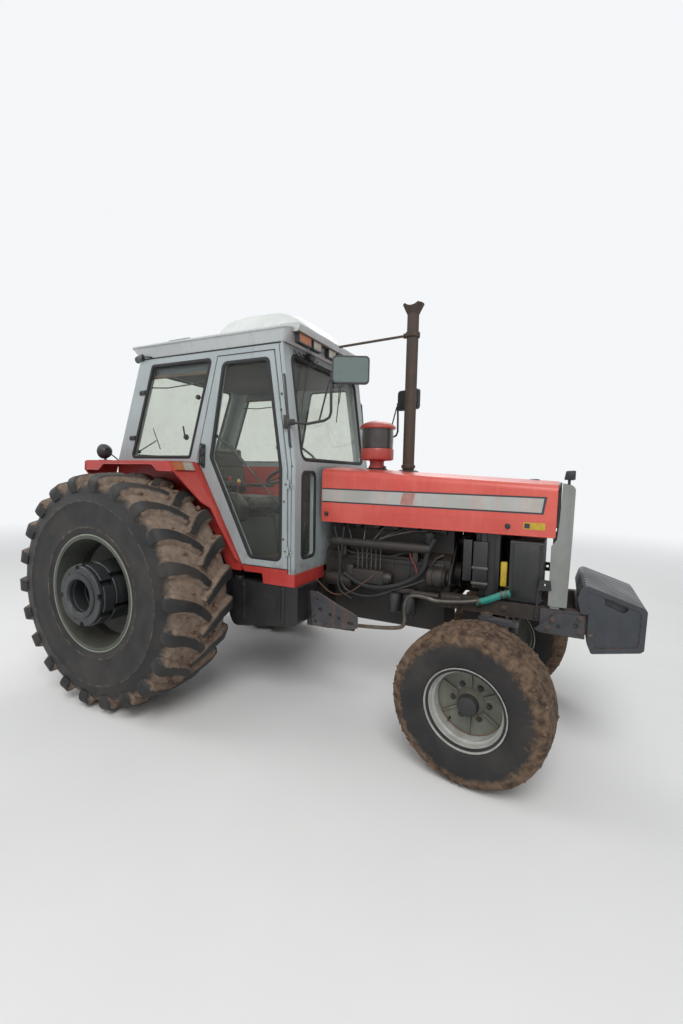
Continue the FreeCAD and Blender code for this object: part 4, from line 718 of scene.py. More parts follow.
# columns: radius and place across the tyre, mud from bare 0 to caked 1
rearSection = [(388, 252, 0.15), (412, 256, 0.2), (424, 262, 0.12), (446, 264, 0.1), (452, 269, 0.34), (462, 269, 0.34),
               (468, 267, 0.1), (520, 276, 0.08), (580, 280, 0.08), (628, 280, 0.1), (634, 283, 0.34), (642, 283, 0.34),
               (648, 279, 0.12), (700, 273, 0.2), (738, 262, 0.4), (762, 245, 0.6), (779, 212, 0.85), (789, 160, 1.0),
               (794, 100, 1.0), (797, 45, 1.0), (798, 0, 1.0)]
# columns: across (share of half), forward, radius, lean of the lug's top, height, half width at the top
lugLine = [(-0.06, 8, 834, 0, 44, 24), (0.06, -24, 837, 0, 45, 27), (0.20, -58, 837, 0, 46, 29),
           (0.36, -90, 836, 2, 47, 31), (0.54, -118, 833, 5, 48, 33), (0.72, -138, 828, 10, 50, 36),
           (0.88, -149, 819, 22, 54, 40), (0.98, -154, 802, 48, 54, 44), (1.03, -156, 776, 72, 46, 46),
           (1.035, -157, 742, 84, 34, 42), (1.00, -158, 706, 88, 16, 34)]


def makeRearTyre(side, word, node):
    place = rearTyre
    centre = spot(0, side * place["track"], place["radius"])
    form = Form("rearTyre" + word, "rearRubber")
    section = rearSection + [(r, -a, m) for r, a, m in reversed(rearSection[:-1])]
    rings, mud = [], []
    for step in range(place["segments"]):
        angle = 2 * math.pi * step / place["segments"]
        ring = []
        for radius, across, caked in section:
            way = Vector((math.sin(angle), 0, math.cos(angle)))
            swell = noise.fractal(Vector((across * 0.02, radius * angle * 0.03, side * 7)), 0.9, 2.1, 4)
            size = radius + (max(0.0, swell) * 16 - 3) * max(0.0, caked - 0.5) * 2
            ring.append(centre + way * (size / 1000) + Vector((0, across / 1000, 0)))
            mud.append(caked)
        rings.append(ring)
    form.skin(rings, closedLine=True, mud=mud)
    for hand in (-1, 1):
        for lug in range(place["lugs"]):
            start = (lug + (0.5 if hand > 0 else 0.0)) * 2 * math.pi / place["lugs"]
            rnd = random.Random(lug * 2 + (hand > 0) + 100 * (side > 0))
            spine = []
            for share, forward, radius, lean, height, wide in lugLine:
                angle = start + forward / place["radius"] + rnd.uniform(-0.0015, 0.0015)
                up = Vector((math.sin(angle), 0, math.cos(angle)))
                out = Vector((0, hand, 0))
                tip = up * math.cos(math.radians(lean)) + out * math.sin(math.radians(lean))
                at = centre + up * (radius / 1000) + out * (share * place["half"] / 1000)
                spine.append((at, tip, height, wide))
            rings, mud = [], []
            for k, (at, tip, height, wide) in enumerate(spine):
                ahead = (spine[min(k + 1, len(spine) - 1)][0] - spine[max(k - 1, 0)][0]).normalized()
                across = ahead.cross(tip).normalized()
                worn = rnd.uniform(-1.5, 0.0)
                ring = []
                for u, v, caked in ((-wide - 18, -height, 1.0), (-wide - 3, -12, 0.55), (-wide + 5, worn, 0.2),
                                    (0, worn + 0.5, 0.05), (wide - 5, worn, 0.2), (wide + 3, -12, 0.55),
                                    (wide + 18, -height, 1.0)):
                    ring.append(at + across * (u / 1000) + tip * (v / 1000))
                    mud.append(caked * (0.55 if k > 7 else 1.0) + rnd.uniform(-0.05, 0.12))
                rings.append(ring)
            form.skin(rings, mud=mud)
    form.done("rear_wheel_" + node, "rear_tyre_" + node, crisp=50)


# front tyres
frontTyre = dict(radius=441, segments=300)
frontSection = [(209, 132, 0.1), (232, 134, 0.3), (238, 141, 0.2), (256, 147, 0.1), (290, 157, 0.08), (322, 162, 0.1),
                (344, 163, 0.2), (362, 162, 0.4), (380, 158, 0.62), (394, 152, 0.8), (402, 150, 0.8), (408, 146, 0.7),
                (412, 139, 0.9), (420, 134, 0.7), (428, 126, 0.6), (431, 96, 0.6), (430, 80, 0.7), (421, 76, 1.0),
                (421, 64, 1.0), (433, 59, 0.6), (436, 34, 0.5), (434, 17, 0.7), (424, 12, 1.0), (424, 0, 1.0)]


def makeFrontTyre(side, word, node):
    low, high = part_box("front_tyre_" + node)
    centre = (low + high) / 2
    axis = Vector((0.12187, 0.99255, 0))
    axis.normalize()
    ahead = Vector((axis.y, -axis.x, 0))
    form = Form("frontTyre" + word, "frontRubber")
    section = frontSection + [(r, -a, m) for r, a, m in reversed(frontSection[:-1])]
    rings, mud = [], []
    for step in range(frontTyre["segments"]):
        angle = 2 * math.pi * step / frontTyre["segments"]
        way = ahead * math.sin(angle) + Vector((0, 0, math.cos(angle)))
        ring = []
        for radius, across, caked in section:
            swell = noise.fractal(Vector((across * 0.045, radius * angle * 0.045, side * 3)), 0.8, 2.1, 5)
            clod = (max(0.0, swell) * 30 - 8) * max(0.0, caked - 0.45) * 1.6
            size = min(radius + clod, frontTyre["radius"] - 0.5)
            ring.append(centre + way * (size / 1000) + axis * (across / 1000))
            mud.append(caked + max(0.0, swell) * 0.25)
        rings.append(ring)
    form.skin(rings, closedLine=True, mud=mud)
    form.done("front_wheel_" + node, "front_tyre_" + node, crisp=60)


for side, word, node in sides:
    makeRearTyre(side, word, node)
    makeFrontTyre(side, word, node)
print("tyres made")

# wheel weights: a notched thin disc outside, thick slotted discs behind it
weightStack = dict(bore=112, rim=215, outer=1312, inner=961, notch=40)


def makeWheelWeights(side, word, node):
    stack = weightStack
    form = Form("wheelWeights" + word, "weightGrey")
    centre = spot(0, 0, 837)
    # columns: nearer and farther |y|, outer radius, notches, notch depth, turn in degrees
    discs = [(961, 1075, 214, 6, 34, 10), (1079, 1186, 215, 6, 34, 4), (1190, 1272, 214, 6, 38, 16),
             (1275, 1302, 206, 4, 26, 40)]
    for near, far, rim, notches, deep, turn in discs:
        half = 20.0 / rim

        def cut(radius, along, angle, rim=rim, notches=notches, deep=deep, turn=turn, half=half):
            pitch = 2 * math.pi / notches
            off = (angle + math.radians(turn)) % pitch
            off = min(off, pitch - off)
            return (radius - deep if off < half and radius > rim - 20 else radius), along

        form.turned(centre, (0, side, 0), [(stack["bore"], near), (rim - 5, near), (rim, near + 5), (rim, far - 5),
                                           (rim - 5, far), (stack["bore"] + 4, far), (stack["bore"], far - 4)],
                    segments=180, closed=True, warp=cut)
    # a dark disc closing the bore: painted shade inside the hole
    form.paint("rubberSealAndBoreShade")
    form.turned(centre, (0, side, 0), [(0, 1110), (111, 1110), (111, 1116), (0, 1116)], 48)
    form.paint("weightGrey")
    form.turned(centre, (0, side, 0), [(114, 1300), (152, 1300), (150, 1310), (146, 1312), (120, 1312),
                                       (116, 1308)], 96, closed=True)
    for k in range(6):
        angle = math.radians(60 * k + 20)
        point = centre + Vector((math.sin(angle) * 0.178, side * 1.301, math.cos(angle) * 0.178))
        if k % 2:
            form.turned(point, (0, side, 0), [(0, 0), (9, 0), (8, 5), (0, 5)], 10)
    form.done("rear_wheel_" + node, "wheel_weights_" + node)


# front rims: (radius, outward) of the rolled rim, of the dished disc and of the hub
rimSection = [(231, 139), (230, 142), (226, 142), (223, 138), (221, 128), (216, 124), (206, 122), (203, 118),
              (202, 100), (199, 92), (190, 84), (188, 72), (188, 20), (188, -60), (199, -92), (203, -118),
              (221, -128), (226, -142), (231, -139), (229, -134), (214, -130), (209, -120), (209, -95), (195, -62),
              (195, 62), (209, 95), (209, 120), (214, 130), (229, 134)]
discSection = [(192, 22), (150, 17), (120, 10), (98, 8), (84, 12), (70, 30), (62, 52), (58, 52), (58, -10), (98, -10),
               (150, 4), (192, 10)]
hubSection = [(0, 66), (38, 66), (38, -70), (62, -70), (66, -12), (65, 34), (59, 56), (57, 84), (52, 92), (38, 97),
              (20, 100), (0, 100)]


def makeFrontRim(side, word, node):
    low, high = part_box("front_tyre_" + node)
    centre = (low + high) / 2
    axis = Vector((0.12187, 0.99255, 0)).normalized() * side
    ahead = Vector((axis.y, -axis.x, 0))

    def around(turn, radius, along):
        angle = math.radians(turn)
        return centre + (ahead * math.sin(angle) + Vector((0, 0, math.cos(angle)))) * (radius / 1000) \
            + axis * (along / 1000)

    form = Form("frontRim" + word, "rimGrey")
    form.turned(centre, axis, rimSection, 120, closed=True)
    form.paint("discOlive")
    form.turned(centre, axis, discSection, 96, closed=True)
    for k in range(6):
        turn = 60 * k
        across = (around(turn, 100, 0) - centre).normalized().cross(axis)
        shape = [around(turn, radius, along) for radius, along in ((84, 4), (84, 25), (110, 28), (187, 33), (187, 14))]
        form.prism([point - across * 0.005 for point in shape], across * 0.010, 2)
    form.paint("castBlack")
    form.turned(centre, axis, [(183, 16), (189, 16), (189, 27), (184, 25)], 96, closed=True)
    for k in range(6):
        point = around(60 * k + 30, 101, 9)
        form.turned(point, axis, [(0, -4), (20, -4), (20, 1), (17, 4), (15, 1), (0, 1)], 20)
    form.paint("blackPlastic")
    for k in range(6):
        form.bolt(around(60 * k + 30, 101, 9), axis, 22, washer=False)
    form.turned(centre, axis, hubSection, 48)
    form.paint("barePin")
    form.turned(around(138, 168, 16), axis, [(0, 0), (6, 0), (6, 34), (4, 38), (0, 38)], 10)
    form.done("front_wheel_" + node, "front_rim_" + node)


for side, word, node in sides:
    makeWheelWeights(side, word, node)
    makeFrontRim(side, word, node)
print("wheels dressed")

# seals and windows of the cab
doorWindow = [(650, 2468, 40), (1036, 2468, 30), (1150, 1720, 200), (1152, 1092, 40), (892, 1092, 40), (530, 1800, 60)]
quarterWindow = [(-305, 1800, 20), (-60, 2506, 20), (532, 2506, 20), (320, 1800, 20)]
windscreen = [(-520, 1791, 60), (-520, 2510, 60), (520, 2510, 60), (520, 1791, 60)]
rearWindow = [(-500, 1817, 50), (-500, 2492, 50), (500, 2492, 50), (500, 1817, 50)]


def frontFace(z):
    return 1260 - (z - 1757) * 114 / 815 if z > 1757 else 1264 - (z - 1000) * 4 / 757


def rearFace(z):
    return -480 + (z - 1757) * 290 / 815


def sideLoop(corners, y):
    return [spot(p.x, y, p.y) for p in roundedLoop(corners)]


for side, word, node in sides:
    out = Vector((0, side, 0))
    seal("doorSeal" + word, "door_" + node, sideLoop(doorWindow, side * 619), out, (26, 14))
    seal("quarterSeal" + word, "chassis", sideLoop(quarterWindow, side * 618), out, (24, 14))
    inner, outer = 338, 524
    corner = [(side * a, b, 40) for a, b in ((inner, 1098), (inner, 1705), (outer, 1705), (outer, 1098))]
    loop = [spot(frontFace(p.y) - 2, p.x, p.y) for p in roundedLoop(corner)]
    seal("cornerSeal" + word, "chassis", loop, Vector((1, 0, 0)), (22, 14))
loop = [spot(frontFace(p.y) - 2, p.x, p.y) for p in roundedLoop(windscreen)]
seal("windscreenSeal", "chassis", loop, Vector((0.99, 0, 0.14)), (26, 16))
loop = [spot(rearFace(p.y) + 2, p.x, p.y) for p in roundedLoop(rearWindow)]
seal("rearWindowSeal", "chassis", loop, Vector((-0.94, 0, 0.33)), (26, 16))
print("seals made")


# bonnet: stripe, latches, sticker and the rolled foot of each side panel
bonnetTrim = dict(back=1311, front=2855, crease=1446, head=1731, half=322)


def panelOut(z):
    trim = bonnetTrim
    if z > trim["crease"]:
        return trim["half"] - 4 * (z - trim["crease"]) / (trim["head"] - trim["crease"])
    return trim["half"] - 10 * (trim["crease"] - z) / 96


def onPanel(side, lift):
    return lambda u, v, w: spot(u, side * (panelOut(v) + lift + w), v)


def onSide(side, y):
    return lambda u, v, w: spot(u, side * (y + w), v)


def makeBonnetTrim(side, word, node):
    back = bonnetTrim["back"]
    form = Form("bonnetBand" + word, "bandPale")
    form.plate([(back, 1501), (2776, 1494), (2787, 1578), (back, 1584)], [], onPanel(side, 0.2), 1.8)
    form.paint("bandDarkAndGripShade")
    form.plate([(back, 1491), (2787, 1484), (2802, 1588), (back, 1594)], [], onPanel(side, 0.1), 1.2)
    form.paint("bandWorn")
    form.plate([(1905, 1501), (1990, 1500), (2006, 1579), (1922, 1580)], [], onPanel(side, 0.4), 2.0)
    form.done("hood_panel_" + node)
    form = Form("bonnetFittings" + word, "blackPlastic")
    for x, z in ((1347, 1408), (2592, 1403)):
        form.turned(spot(x, side * panelOut(z), z), (0, side, 0),
                    [(0, -1), (17, -1), (17, 3), (13, 4), (12, 11), (9, 14), (0, 14)], 20)
    if side < 0:
        form.paint("stickerYellow")
        form.plate(roundedBox(2680, 2800, 1391, 1433, 5), [], onPanel(side, 0.2), 0.8)
        form.paint("bandDarkAndGripShade")
        form.plate(roundedBox(2686, 2716, 1397, 1427, 3), [], onPanel(side, 0.4), 0.9)
    form.paint("fadedRed")
    y = side * (panelOut(1352) - 1)
    form.pipe([spot(back, y, 1353), spot(bonnetTrim["front"], y, 1353)], 5, 10)
    form.done("hood_panel_" + node)


# rings where the stacks pass the bonnet, and the seal between bonnet and nose
def makeBonnetTop():
    form = Form("stackCollars", "blackSheet")
    for x, bore, height in ((1850, 51, 1730), (1602, 59, 1741)):
        form.turned(spot(x, 0, height), (0, 0, 1),
                    [(bore, -10), (bore + 26, -10), (bore + 26, -2), (bore + 20, 1), (bore + 6, 9), (bore, 9)],
                    40, closed=True)
    form.turned(spot(2708, 0, 1674), (0, 0, 1),
                [(0, -8), (38, -8), (40, 0), (38, 12), (30, 17), (12, 19), (0, 19)], 32)
    form.done("chassis")
    loop = [(-311, 1356), (-315, 1446), (-311, 1600), (-296, 1641), (-266, 1657), (0, 1669),
            (266, 1657), (296, 1641), (311, 1600), (315, 1446), (311, 1356)]
    form = Form("noseSeal", "rubberSealAndBoreShade")
    form.pipe([spot(2869, y, z) for y, z in loop], 6.5, 8)
    form.done("chassis")


# nose: lamp bezels, a small work lamp on top and the latch with its strap
noseLampFront = 2937


def makeNoseTrim():
    form = Form("noseBezels", "blackPlastic")
    for side in (-1, 1):
        loop = roundedBox(side * 155 - 108, side * 155 + 108, 1421, 1569, 20)
        hole = roundedBox(side * 155 - 93, side * 155 + 93, 1432, 1558, 13)
        form.plate(loop, [hole], lambda u, v, w: spot(noseLampFront - 4 + w, u, v), 9)
    form.paint("dullSteel")
    for side in (-1, 1):
        for y, z in ((side * 58, 1427), (side * 252, 1427), (side * 58, 1563), (side * 252, 1563)):
            form.bolt(spot(noseLampFront + 5, y, z), (1, 0, 0), 7, washer=False)
    form.done("chassis")
    form = Form("noseLamp", "blackPlastic")
    form.prism([spot(2884, -282, 1690), spot(2936, -286, 1688), spot(2940, -286, 1746), spot(2892, -282, 1742)],
               Vector((0, 0.064, 0)), 6)
    form.pipe([spot(2912, -250, 1650), spot(2912, -250, 1694)], 8, 10)
    form.plate(roundedBox(-281, -219, 1691, 1743, 6), [roundedBox(-275, -225, 1697, 1737, 5)],
               lambda u, v, w: spot(2938 + w, u, v), 5)
    form.paint("lampClear")
    form.plate(roundedBox(-276, -224, 1696, 1738, 5), [], lambda u, v, w: spot(2936 + w, u, v), 4)
    form.done("chassis")
    form = Form("noseLatch", "blackSheet")
    for side in (-1, 1):
        face = onSide(side, 323)
        form.plate([(2779, 1035), (2790, 1101), (2846, 1098), (2854, 1040), (2838, 1036)],
                   [circleLoop(2812, 1070, 9)], face, 6)
        form.plate([(2776, 1040), (2790, 1040), (2782, 840), (2768, 840)], [], onSide(side, 300), 5)
        form.bolt(spot(2840, side * 329, 1070), (0, side, 0), 14)
        form.bolt(spot(2776, side * 305, 862), (0, side, 0), 14)
    form.done("chassis")


# engine side: places measured on the right, with what such an engine has on its left
engineHoses = [
    ("intakeHose", "rubberSealAndBoreShade", 34, -300,
     [(1492, 982), (1619, 913), (1747, 905), (1893, 936), (2032, 1011), (2087, 1086), (2094, 1187), (2146, 1281)]),
    ("fuelHose", "blackPlastic", 15, -306,
     [(1409, 1317), (1453, 1162), (1458, 991), (1488, 871), (1568, 845), (1660, 834), (1773, 861), (1918, 928),
      (2011, 963), (2090, 1007)]),
    ("returnHose", "blackPlastic", 12, -318,
     [(1490, 1323), (1480, 1164), (1458, 991), (1447, 891), (1489, 834), (1560, 812)]),
    ("brownLead", "brownWire", 9, -312,
     [(1265, 918), (1351, 841), (1435, 814), (1529, 840), (1619, 901), (1731, 1004)]),
    ("redLead", "redWire", 8, -300, [(1980, 1176), (1987, 1131), (2029, 1091), (2032, 1023)]),
    ("blackLead", "rubberSealAndBoreShade", 10, -288, [(1340, 1230), (1500, 1130), (1660, 1150), (1830, 1120), (1990, 1190)]),
    ("coolantPipe", "dullSteel", 26, -326,
     [(2439, 921), (2377, 902), (2173, 878), (2128, 894), (2013, 900), (1973, 866), (1958, 794), (1973, 704),
      (1934, 644), (1627, 622)]),
    ("coolantHose", "tealHose", 44, -312, [(2430, 908), (2470, 918), (2530, 948), (2580, 976), (2626, 990)]),
]


def makeEngineHoses():
    for name, finishName, thick, y, line in engineHoses:
        hose(name, finishName, "chassis", [(x, y, z) for x, z in line], thick)
    hose("leftHeaterHose", "rubberSealAndBoreShade", "chassis",
         [(1300, 250, 1260), (1420, 285, 1180), (1700, 290, 1160), (2000, 280, 1230), (2240, 210, 1380)], 26)
    hose("leftCoolantHose", "rubberSealAndBoreShade", "chassis",
         [(2210, 150, 900), (2300, 230, 920), (2380, 250, 990), (2440, 240, 1040)], 48)
    form = Form("hoseClamps", "dullSteel")
    for x, z, ahead in ((2452, 914, (0.9, 0, 0.35)), (2606, 985, (0.95, 0, 0.3)), (2580, 976, (0.95, 0, 0.3))):
        form.turned(spot(x, -312, z), ahead, [(22, -7), (25, -7), (25, 7), (22, 7)], 24, closed=True)
        form.block((x - 8, -345, z - 6), (x + 8, -335, z + 6), 1.5)
    form.done("chassis")


engineSide = dict(wall=235, low=905, high=1120)


def makeEngineRight():
    place = engineSide
    form = Form("engineRight", "greasyIron")
    for x in range(1360, 2200, 118):
        form.block((x, -place["wall"] - 8, place["low"]), (x + 14, -place["wall"] + 2, place["high"]), 3)
    form.block((1350, -place["wall"] - 14, 1082), (2200, -place["wall"] + 2, 1112), 5)
    form.block((1372, -172, 1296), (2196, -148, 1400), 8)
    for k in range(6):
        x = 1420 + 142 * k
        form.turned(spot(x, -168, 1340), (0, -1, 0), [(0, 0), (34, 0), (32, 46), (24, 60), (0, 60)], 20)
        form.turned(spot(x + 60, -168, 1370), (-0.1, -1, 0.5), [(0, 0), (11, 0), (11, 40), (7, 46), (0, 46)], 8)
        form.bolt(spot(x - 30, -173, 1386), (0, -1, 0), 16)
        form.bolt(spot(x - 30, -173, 1310), (0, -1, 0), 16)
    # injection pump with its governor, and the rail that it stands on
    form.block((1560, -312, 930), (1800, -246, 1030), 14)
    form.block((1500, -300, 948), (1562, -244, 1052), 18)
    for k in range(6):
        form.turned(spot(1592 + 34 * k, -282, 1028), (0, 0, 1), [(0, 0), (10, 0), (10, 26), (7, 30), (0, 30)], 8)
    form.turned(spot(1800, -280, 980), (1, 0, 0), [(0, 0), (44, 0), (44, 30), (30, 52), (0, 52)], 28)
    # starter and the oil filters
    form.turned(spot(1345, -262, 930), (1, 0, 0), [(0, 0), (46, 0), (50, 20), (50, 190), (40, 200), (0, 200)], 28)
    form.paint("blackSheet")
    for x in (1880, 1985):
        form.turned(spot(x, -290, 760), (0, 0, 1),
                    [(0, 0), (40, 0), (46, 8), (46, 118), (42, 124), (42, 134), (0, 134)], 30)
    form.paint("greasyIron")
    form.block((1850, -306, 892), (2016, -232, 930), 10)
    # alternator, its fan wheel and bracket
    form.turned(spot(2096, -262, 1022), (1, 0, 0),
                [(0, 0), (58, 0), (70, 12), (72, 42), (66, 46), (66, 58), (72, 62), (72, 104), (60, 116), (0, 116)], 36)
    form.turned(spot(2214, -262, 1022), (1, 0, 0),
                [(0, 0), (62, 0), (62, 5), (42, 9), (30, 14), (42, 20), (42, 26), (0, 26)], 36)
    form.pipe([spot(2110, -262, 1090), spot(2150, -250, 1150), spot(2190, -225, 1170)], 10, 8)
    # ribbed breather at the front of the head
    form.paint("blackPlastic")
    profile = [(0, 0), (33, 0)]
    for k in range(5):
        profile += [(36, 8 + 12 * k), (36, 13 + 12 * k), (31, 15 + 12 * k)]
    form.turned(spot(2100, -258, 1248), (0, 0, 1), profile + [(33, 70), (22, 76), (0, 76)], 28)
    form.pipe([spot(2100, -258, 1180), spot(2100, -258, 1250)], 16, 12)
    form.done("chassis")
    form = Form("injectorLines", "dullSteel")
    for k in range(6):
        start = (1592 + 34 * k, -282, 1058)
        end = (1480 + 142 * k, -204, 1388)
        bow = 1150 + 22 * k
        form.pipe([spot(*start), spot(start[0], start[1] - 4, bow), spot((start[0] + end[0]) / 2, -262, bow + 60),
                   spot(end[0], -232, end[2] - 60), spot(*end)], 3.6, 8)
    form.done("chassis")


def makeEngineLeft():
    form = Form("engineLeft", "rustyPipe")
    form.pipe([spot(1440, 196, 1350), spot(2120, 196, 1350)], 34, 18)
    for k in range(6):
        form.pipe([spot(1470 + 126 * k, 140, 1340), spot(1470 + 126 * k, 196, 1348)], 26, 14)
    form.pipe([spot(1850, 196, 1350), spot(1850, 190, 1450), spot(1850, 110, 1540), spot(1850, 30, 1570),
               spot(1850, 0, 1640)], 38, 18)
    form.paint("greasyIron")
    for x in range(1360, 2200, 118):
        form.block((x, 233, 905), (x + 14, 243, 1120), 3)
    form.turned(spot(1345, 268, 900), (1, 0, 0), [(0, 0), (50, 0), (54, 20), (54, 210), (42, 222), (0, 222)], 28)
    form.block((1640, 236, 960), (1960, 262, 1090), 8)
    for x in (1660, 1800, 1940):
        for z in (980, 1070):
            form.bolt(spot(x, 262, z), (0, 1, 0), 16)
    form.paint("blackSheet")
    form.turned(spot(1780, 282, 760), (0, 0, 1), [(0, 0), (44, 0), (50, 8), (50, 140), (44, 148), (0, 148)], 30)
    form.done("chassis")


def makeEngineTop():
    form = Form("engineCover", "greasyIron")
    form.prism([spot(1380, -112, 1499), spot(2180, -112, 1499), spot(2180, 112, 1499), spot(1380, 112, 1499)],
               Vector((0, 0, 0.062)), 18, 3)
    for x in (1480, 1780, 2080):
        form.bolt(spot(x, 0, 1561), (0, 0, 1), 20)
    form.turned(spot(2040, 60, 1560), (0, 0, 1),
                [(0, 0), (26, 0), (26, 10), (32, 12), (32, 24), (26, 28), (0, 28)], 24)
    # fan, its hub and the belt round the pulleys
    form.paint("blackSheet")
    for k in range(6):
        angle = math.radians(60 * k)
        out = Vector((0, math.cos(angle), math.sin(angle)))
        side = Vector((0.45, -math.sin(angle) * 0.9, math.cos(angle) * 0.9)).normalized()
        hub = spot(2345, 0, 1250)
        corners = [hub + out * 0.05 - side * 0.03, hub + out * 0.225 - side * 0.055,
                   hub + out * 0.225 + side * 0.055, hub + out * 0.05 + side * 0.03]
        form.prism(corners, out.cross(side) * 0.003, 0)
    form.turned(spot(2328, 0, 1250), (1, 0, 0), [(0, 0), (64, 0), (64, 6), (40, 12), (40, 32), (0, 32)], 28)
    belt = [(70, 1270), (0, 1316), (-70, 1270), (-300, 1050), (-305, 1000), (-262, 978), (-60, 950), (0, 928),
            (60, 955)]
    form.pipe([spot(2252, y, z) for y, z in belt], 7, 8, closed=True)
    form.paint("greasyIron")
    form.turned(spot(2240, 0, 1010), (1, 0, 0), [(0, 0), (84, 0), (84, 7), (74, 12), (84, 17), (84, 24), (0, 24)], 36)
    form.done("chassis")


def makeRadiatorTrim():
    form = Form("radiatorTrim", "blackSheet")
    for side in (-1, 1):
        form.block((2330, side * 288 - 6, 1032), (2384, side * 288 + 6, 1298), 4)
        form.block((2438, side * 277 - 7, 940), (2470, side * 277 + 7, 1552), 4)
        form.block((2524, side * 277 - 7, 940), (2552, side * 277 + 7, 1552), 4)
        form.block((2392, side * 288 - 14, 990), (2484, side * 288 + 14, 1292), 10)
        form.paint("dullSteel")
        for z in (1018, 1116):
            form.block((2388, side * 288 - 17, z), (2488, side * 288 + 17, z + 16), 2)
        form.paint("blackSheet")
    form.prism([spot(2396, -235, 1440), spot(2396, 235, 1440), spot(2396, 235, 1052), spot(2396, -235, 1052)],
               Vector((0.042, 0, 0)), 10)
    form.turned(spot(2495, 120, 1558), (0, 0, 1),
                [(0, 0), (34, 0), (34, 12), (40, 14), (40, 24), (34, 28), (0, 28)], 28)
    # black sheets that close the view through the bay, a painted shade for the shaded bay behind them
    form.block((2225, 234, 905), (2442, 240, 1345), 2)
    form.block((2548, 120, 935), (2640, 126, 1345), 2)
    form.paint("stickerYellow")
    form.block((2558, -274, 1017), (2598, -232, 1172), 8)
    form.paint("blackPlastic")
    form.block((2634, -300, 958), (2780, -290, 1302), 6)
    form.block((2634, 290, 958), (2780, 300, 1302), 6)
    form.done("chassis")


for side, word, node in sides:
    makeBonnetTrim(side, word, node)
makeBonnetTop()
makeNoseTrim()
makeEngineHoses()
makeEngineRight()
makeEngineLeft()
makeEngineTop()
makeRadiatorTrim()
print("bonnet and engine dressed")

# front weights: bevelled slabs with a raised rim and a grip recess on the outer two
slabOutline = [(2990, 1010, 0), (3014, 1104, 34), (3318, 1003, 20), (3332, 985, 6), (3328, 768, 10), (3310, 752, 10),
               (3074, 702, 12), (3050, 760, 0), (3050, 930, 0), (3012, 930, 0)]
gripHole = [(3122, 1037, 8), (3250, 990, 10), (3222, 958, 10), (3128, 996, 8)]
rimInset = [(3034, 1006, 6), (3036, 1070, 10), (3296, 984, 14), (3304, 964, 8), (3302, 800, 12), (3290, 778, 12),
            (3096, 736, 12), (3078, 760, 8), (3078, 948, 10), (3050, 962, 10)]


def scaled(loop, share):
    middleU = sum(u for u, v in loop) / len(loop)
    middleV = sum(v for u, v in loop) / len(loop)
    return [(middleU + (u - middleU) * share, middleV + (v - middleV) * share) for u, v in loop]


def makeFrontWeights():
    form = Form("frontWeights", "weightDark")
    loop = [(p.x, p.y) for p in roundedLoop(slabOutline, 3)]
    grip = [(p.x, p.y) for p in roundedLoop(gripHole, 3)]
    inner = [(p.x, p.y) for p in roundedLoop(rimInset, 3)]
    for index in range(8):
        low = (index - 4) * 82 + 2 + (28 if index == 0 else 0)
        thick = 50 if index in (0, 7) else 78
        form.prism([spot(x, low, z) for x, z in loop], Vector((0, thick / 1000, 0)), 4, 2)
    # the outer two carry a raised rim, a face set back from it and a grip cut into that face
    for side in (-1, 1):
        form.plate(scaled(loop, 0.994), [inner], onSide(side, 295), 35)
        form.plate(scaled(inner, 1.01), [grip], onSide(side, 295), 28)
        # the floor of each grip is painted darker than the iron: painted shade in the recess
        form.paint("bandDarkAndGripShade")
        form.plate(scaled(grip, 1.04), [], onSide(side, 295), 2)
        form.paint("dullSteel")
        form.bolt(spot(3066, side * 324, 812), (0, side, 0), 22)
        form.paint("weightDark")
    form.done("chassis", "suitcase_weights")
    form = Form("carrierFittings", "plateBlue")
    for side in (-1, 1):
        form.plate([(3032, 916), (2882, 902), (2772, 796), (2800, 782), (3035, 782)],
                   [circleLoop(2990, 850, 16), circleLoop(2900, 830, 12)], onSide(side, 308), 10)
        for x, z in ((2840, 812), (2866, 862), (3010, 812), (3008, 894)):
            form.bolt(spot(x, side * 318, z), (0, side, 0), 20)
    form.done("chassis")


# cab step bracket: a plate with round holes, a folded top edge and a slotted end
bracketLoop = [(1309, 868, 4), (1364, 863, 20), (1500, 800, 60), (1672, 734, 12), (1680, 720, 6), (1680, 652, 8),
               (1640, 640, 14), (1449, 617, 20), (1328, 615, 10)]


def makeStepBracket(side, word):
    form = Form("stepBracket" + word, "plateBlue")
    loop = [(p.x, p.y) for p in roundedLoop(bracketLoop, 3)]
    holes = [circleLoop(1392, 740, 17), circleLoop(1470, 716, 13), circleLoop(1540, 700, 11),
             roundedBox(1602, 1650, 668, 690, 9), circleLoop(1368, 812, 9), circleLoop(1352, 650, 9)]
    form.plate(loop, holes, onSide(side, 459), 7)
    form.pipe([spot(1362, side * 462, 862), spot(1440, side * 462, 828), spot(1500, side * 462, 800),
               spot(1672, side * 462, 734)], 7, 8)
    for x, z in ((1340, 830), (1340, 700), (1420, 650)):
        form.bolt(spot(x, side * 466, z), (0, side, 0), 20)
    form.done("chassis")


def makeFrameFittings():
    form = Form("frameFittings", "frameBrown")
    for side in (-1, 1):
        for x in (2226, 2262, 2300):
            for z in (858, 908):
                form.bolt(spot(x, side * 293, z), (0, side, 0), 22)
        for x in (2440, 2590, 2860, 2960):
            form.bolt(spot(x, side * 293, 886), (0, side, 0), 24)
        form.block((2200, side * 297 - 6, 845), (2330, side * 297 + 6, 925), 4)
    form.turned(spot(2605, 0, 716), (1, 0, 0), [(0, 0), (34, 0), (34, 16), (22, 26), (0, 26)], 24)
    form.done("chassis")
    for side, word, node in sides:
        form = Form("kingpinCap" + word, "frameBrown")
        form.turned(spot(2513, side * 452, 883), (0, 0, 1), [(0, 0), (26, 0), (26, 6), (18, 12), (0, 12)], 20)
        form.done("knuckle_" + node)


makeFrontWeights()
for side, word, node in sides:
    makeStepBracket(side, word)
makeFrameFittings()
print("front and step dressed")


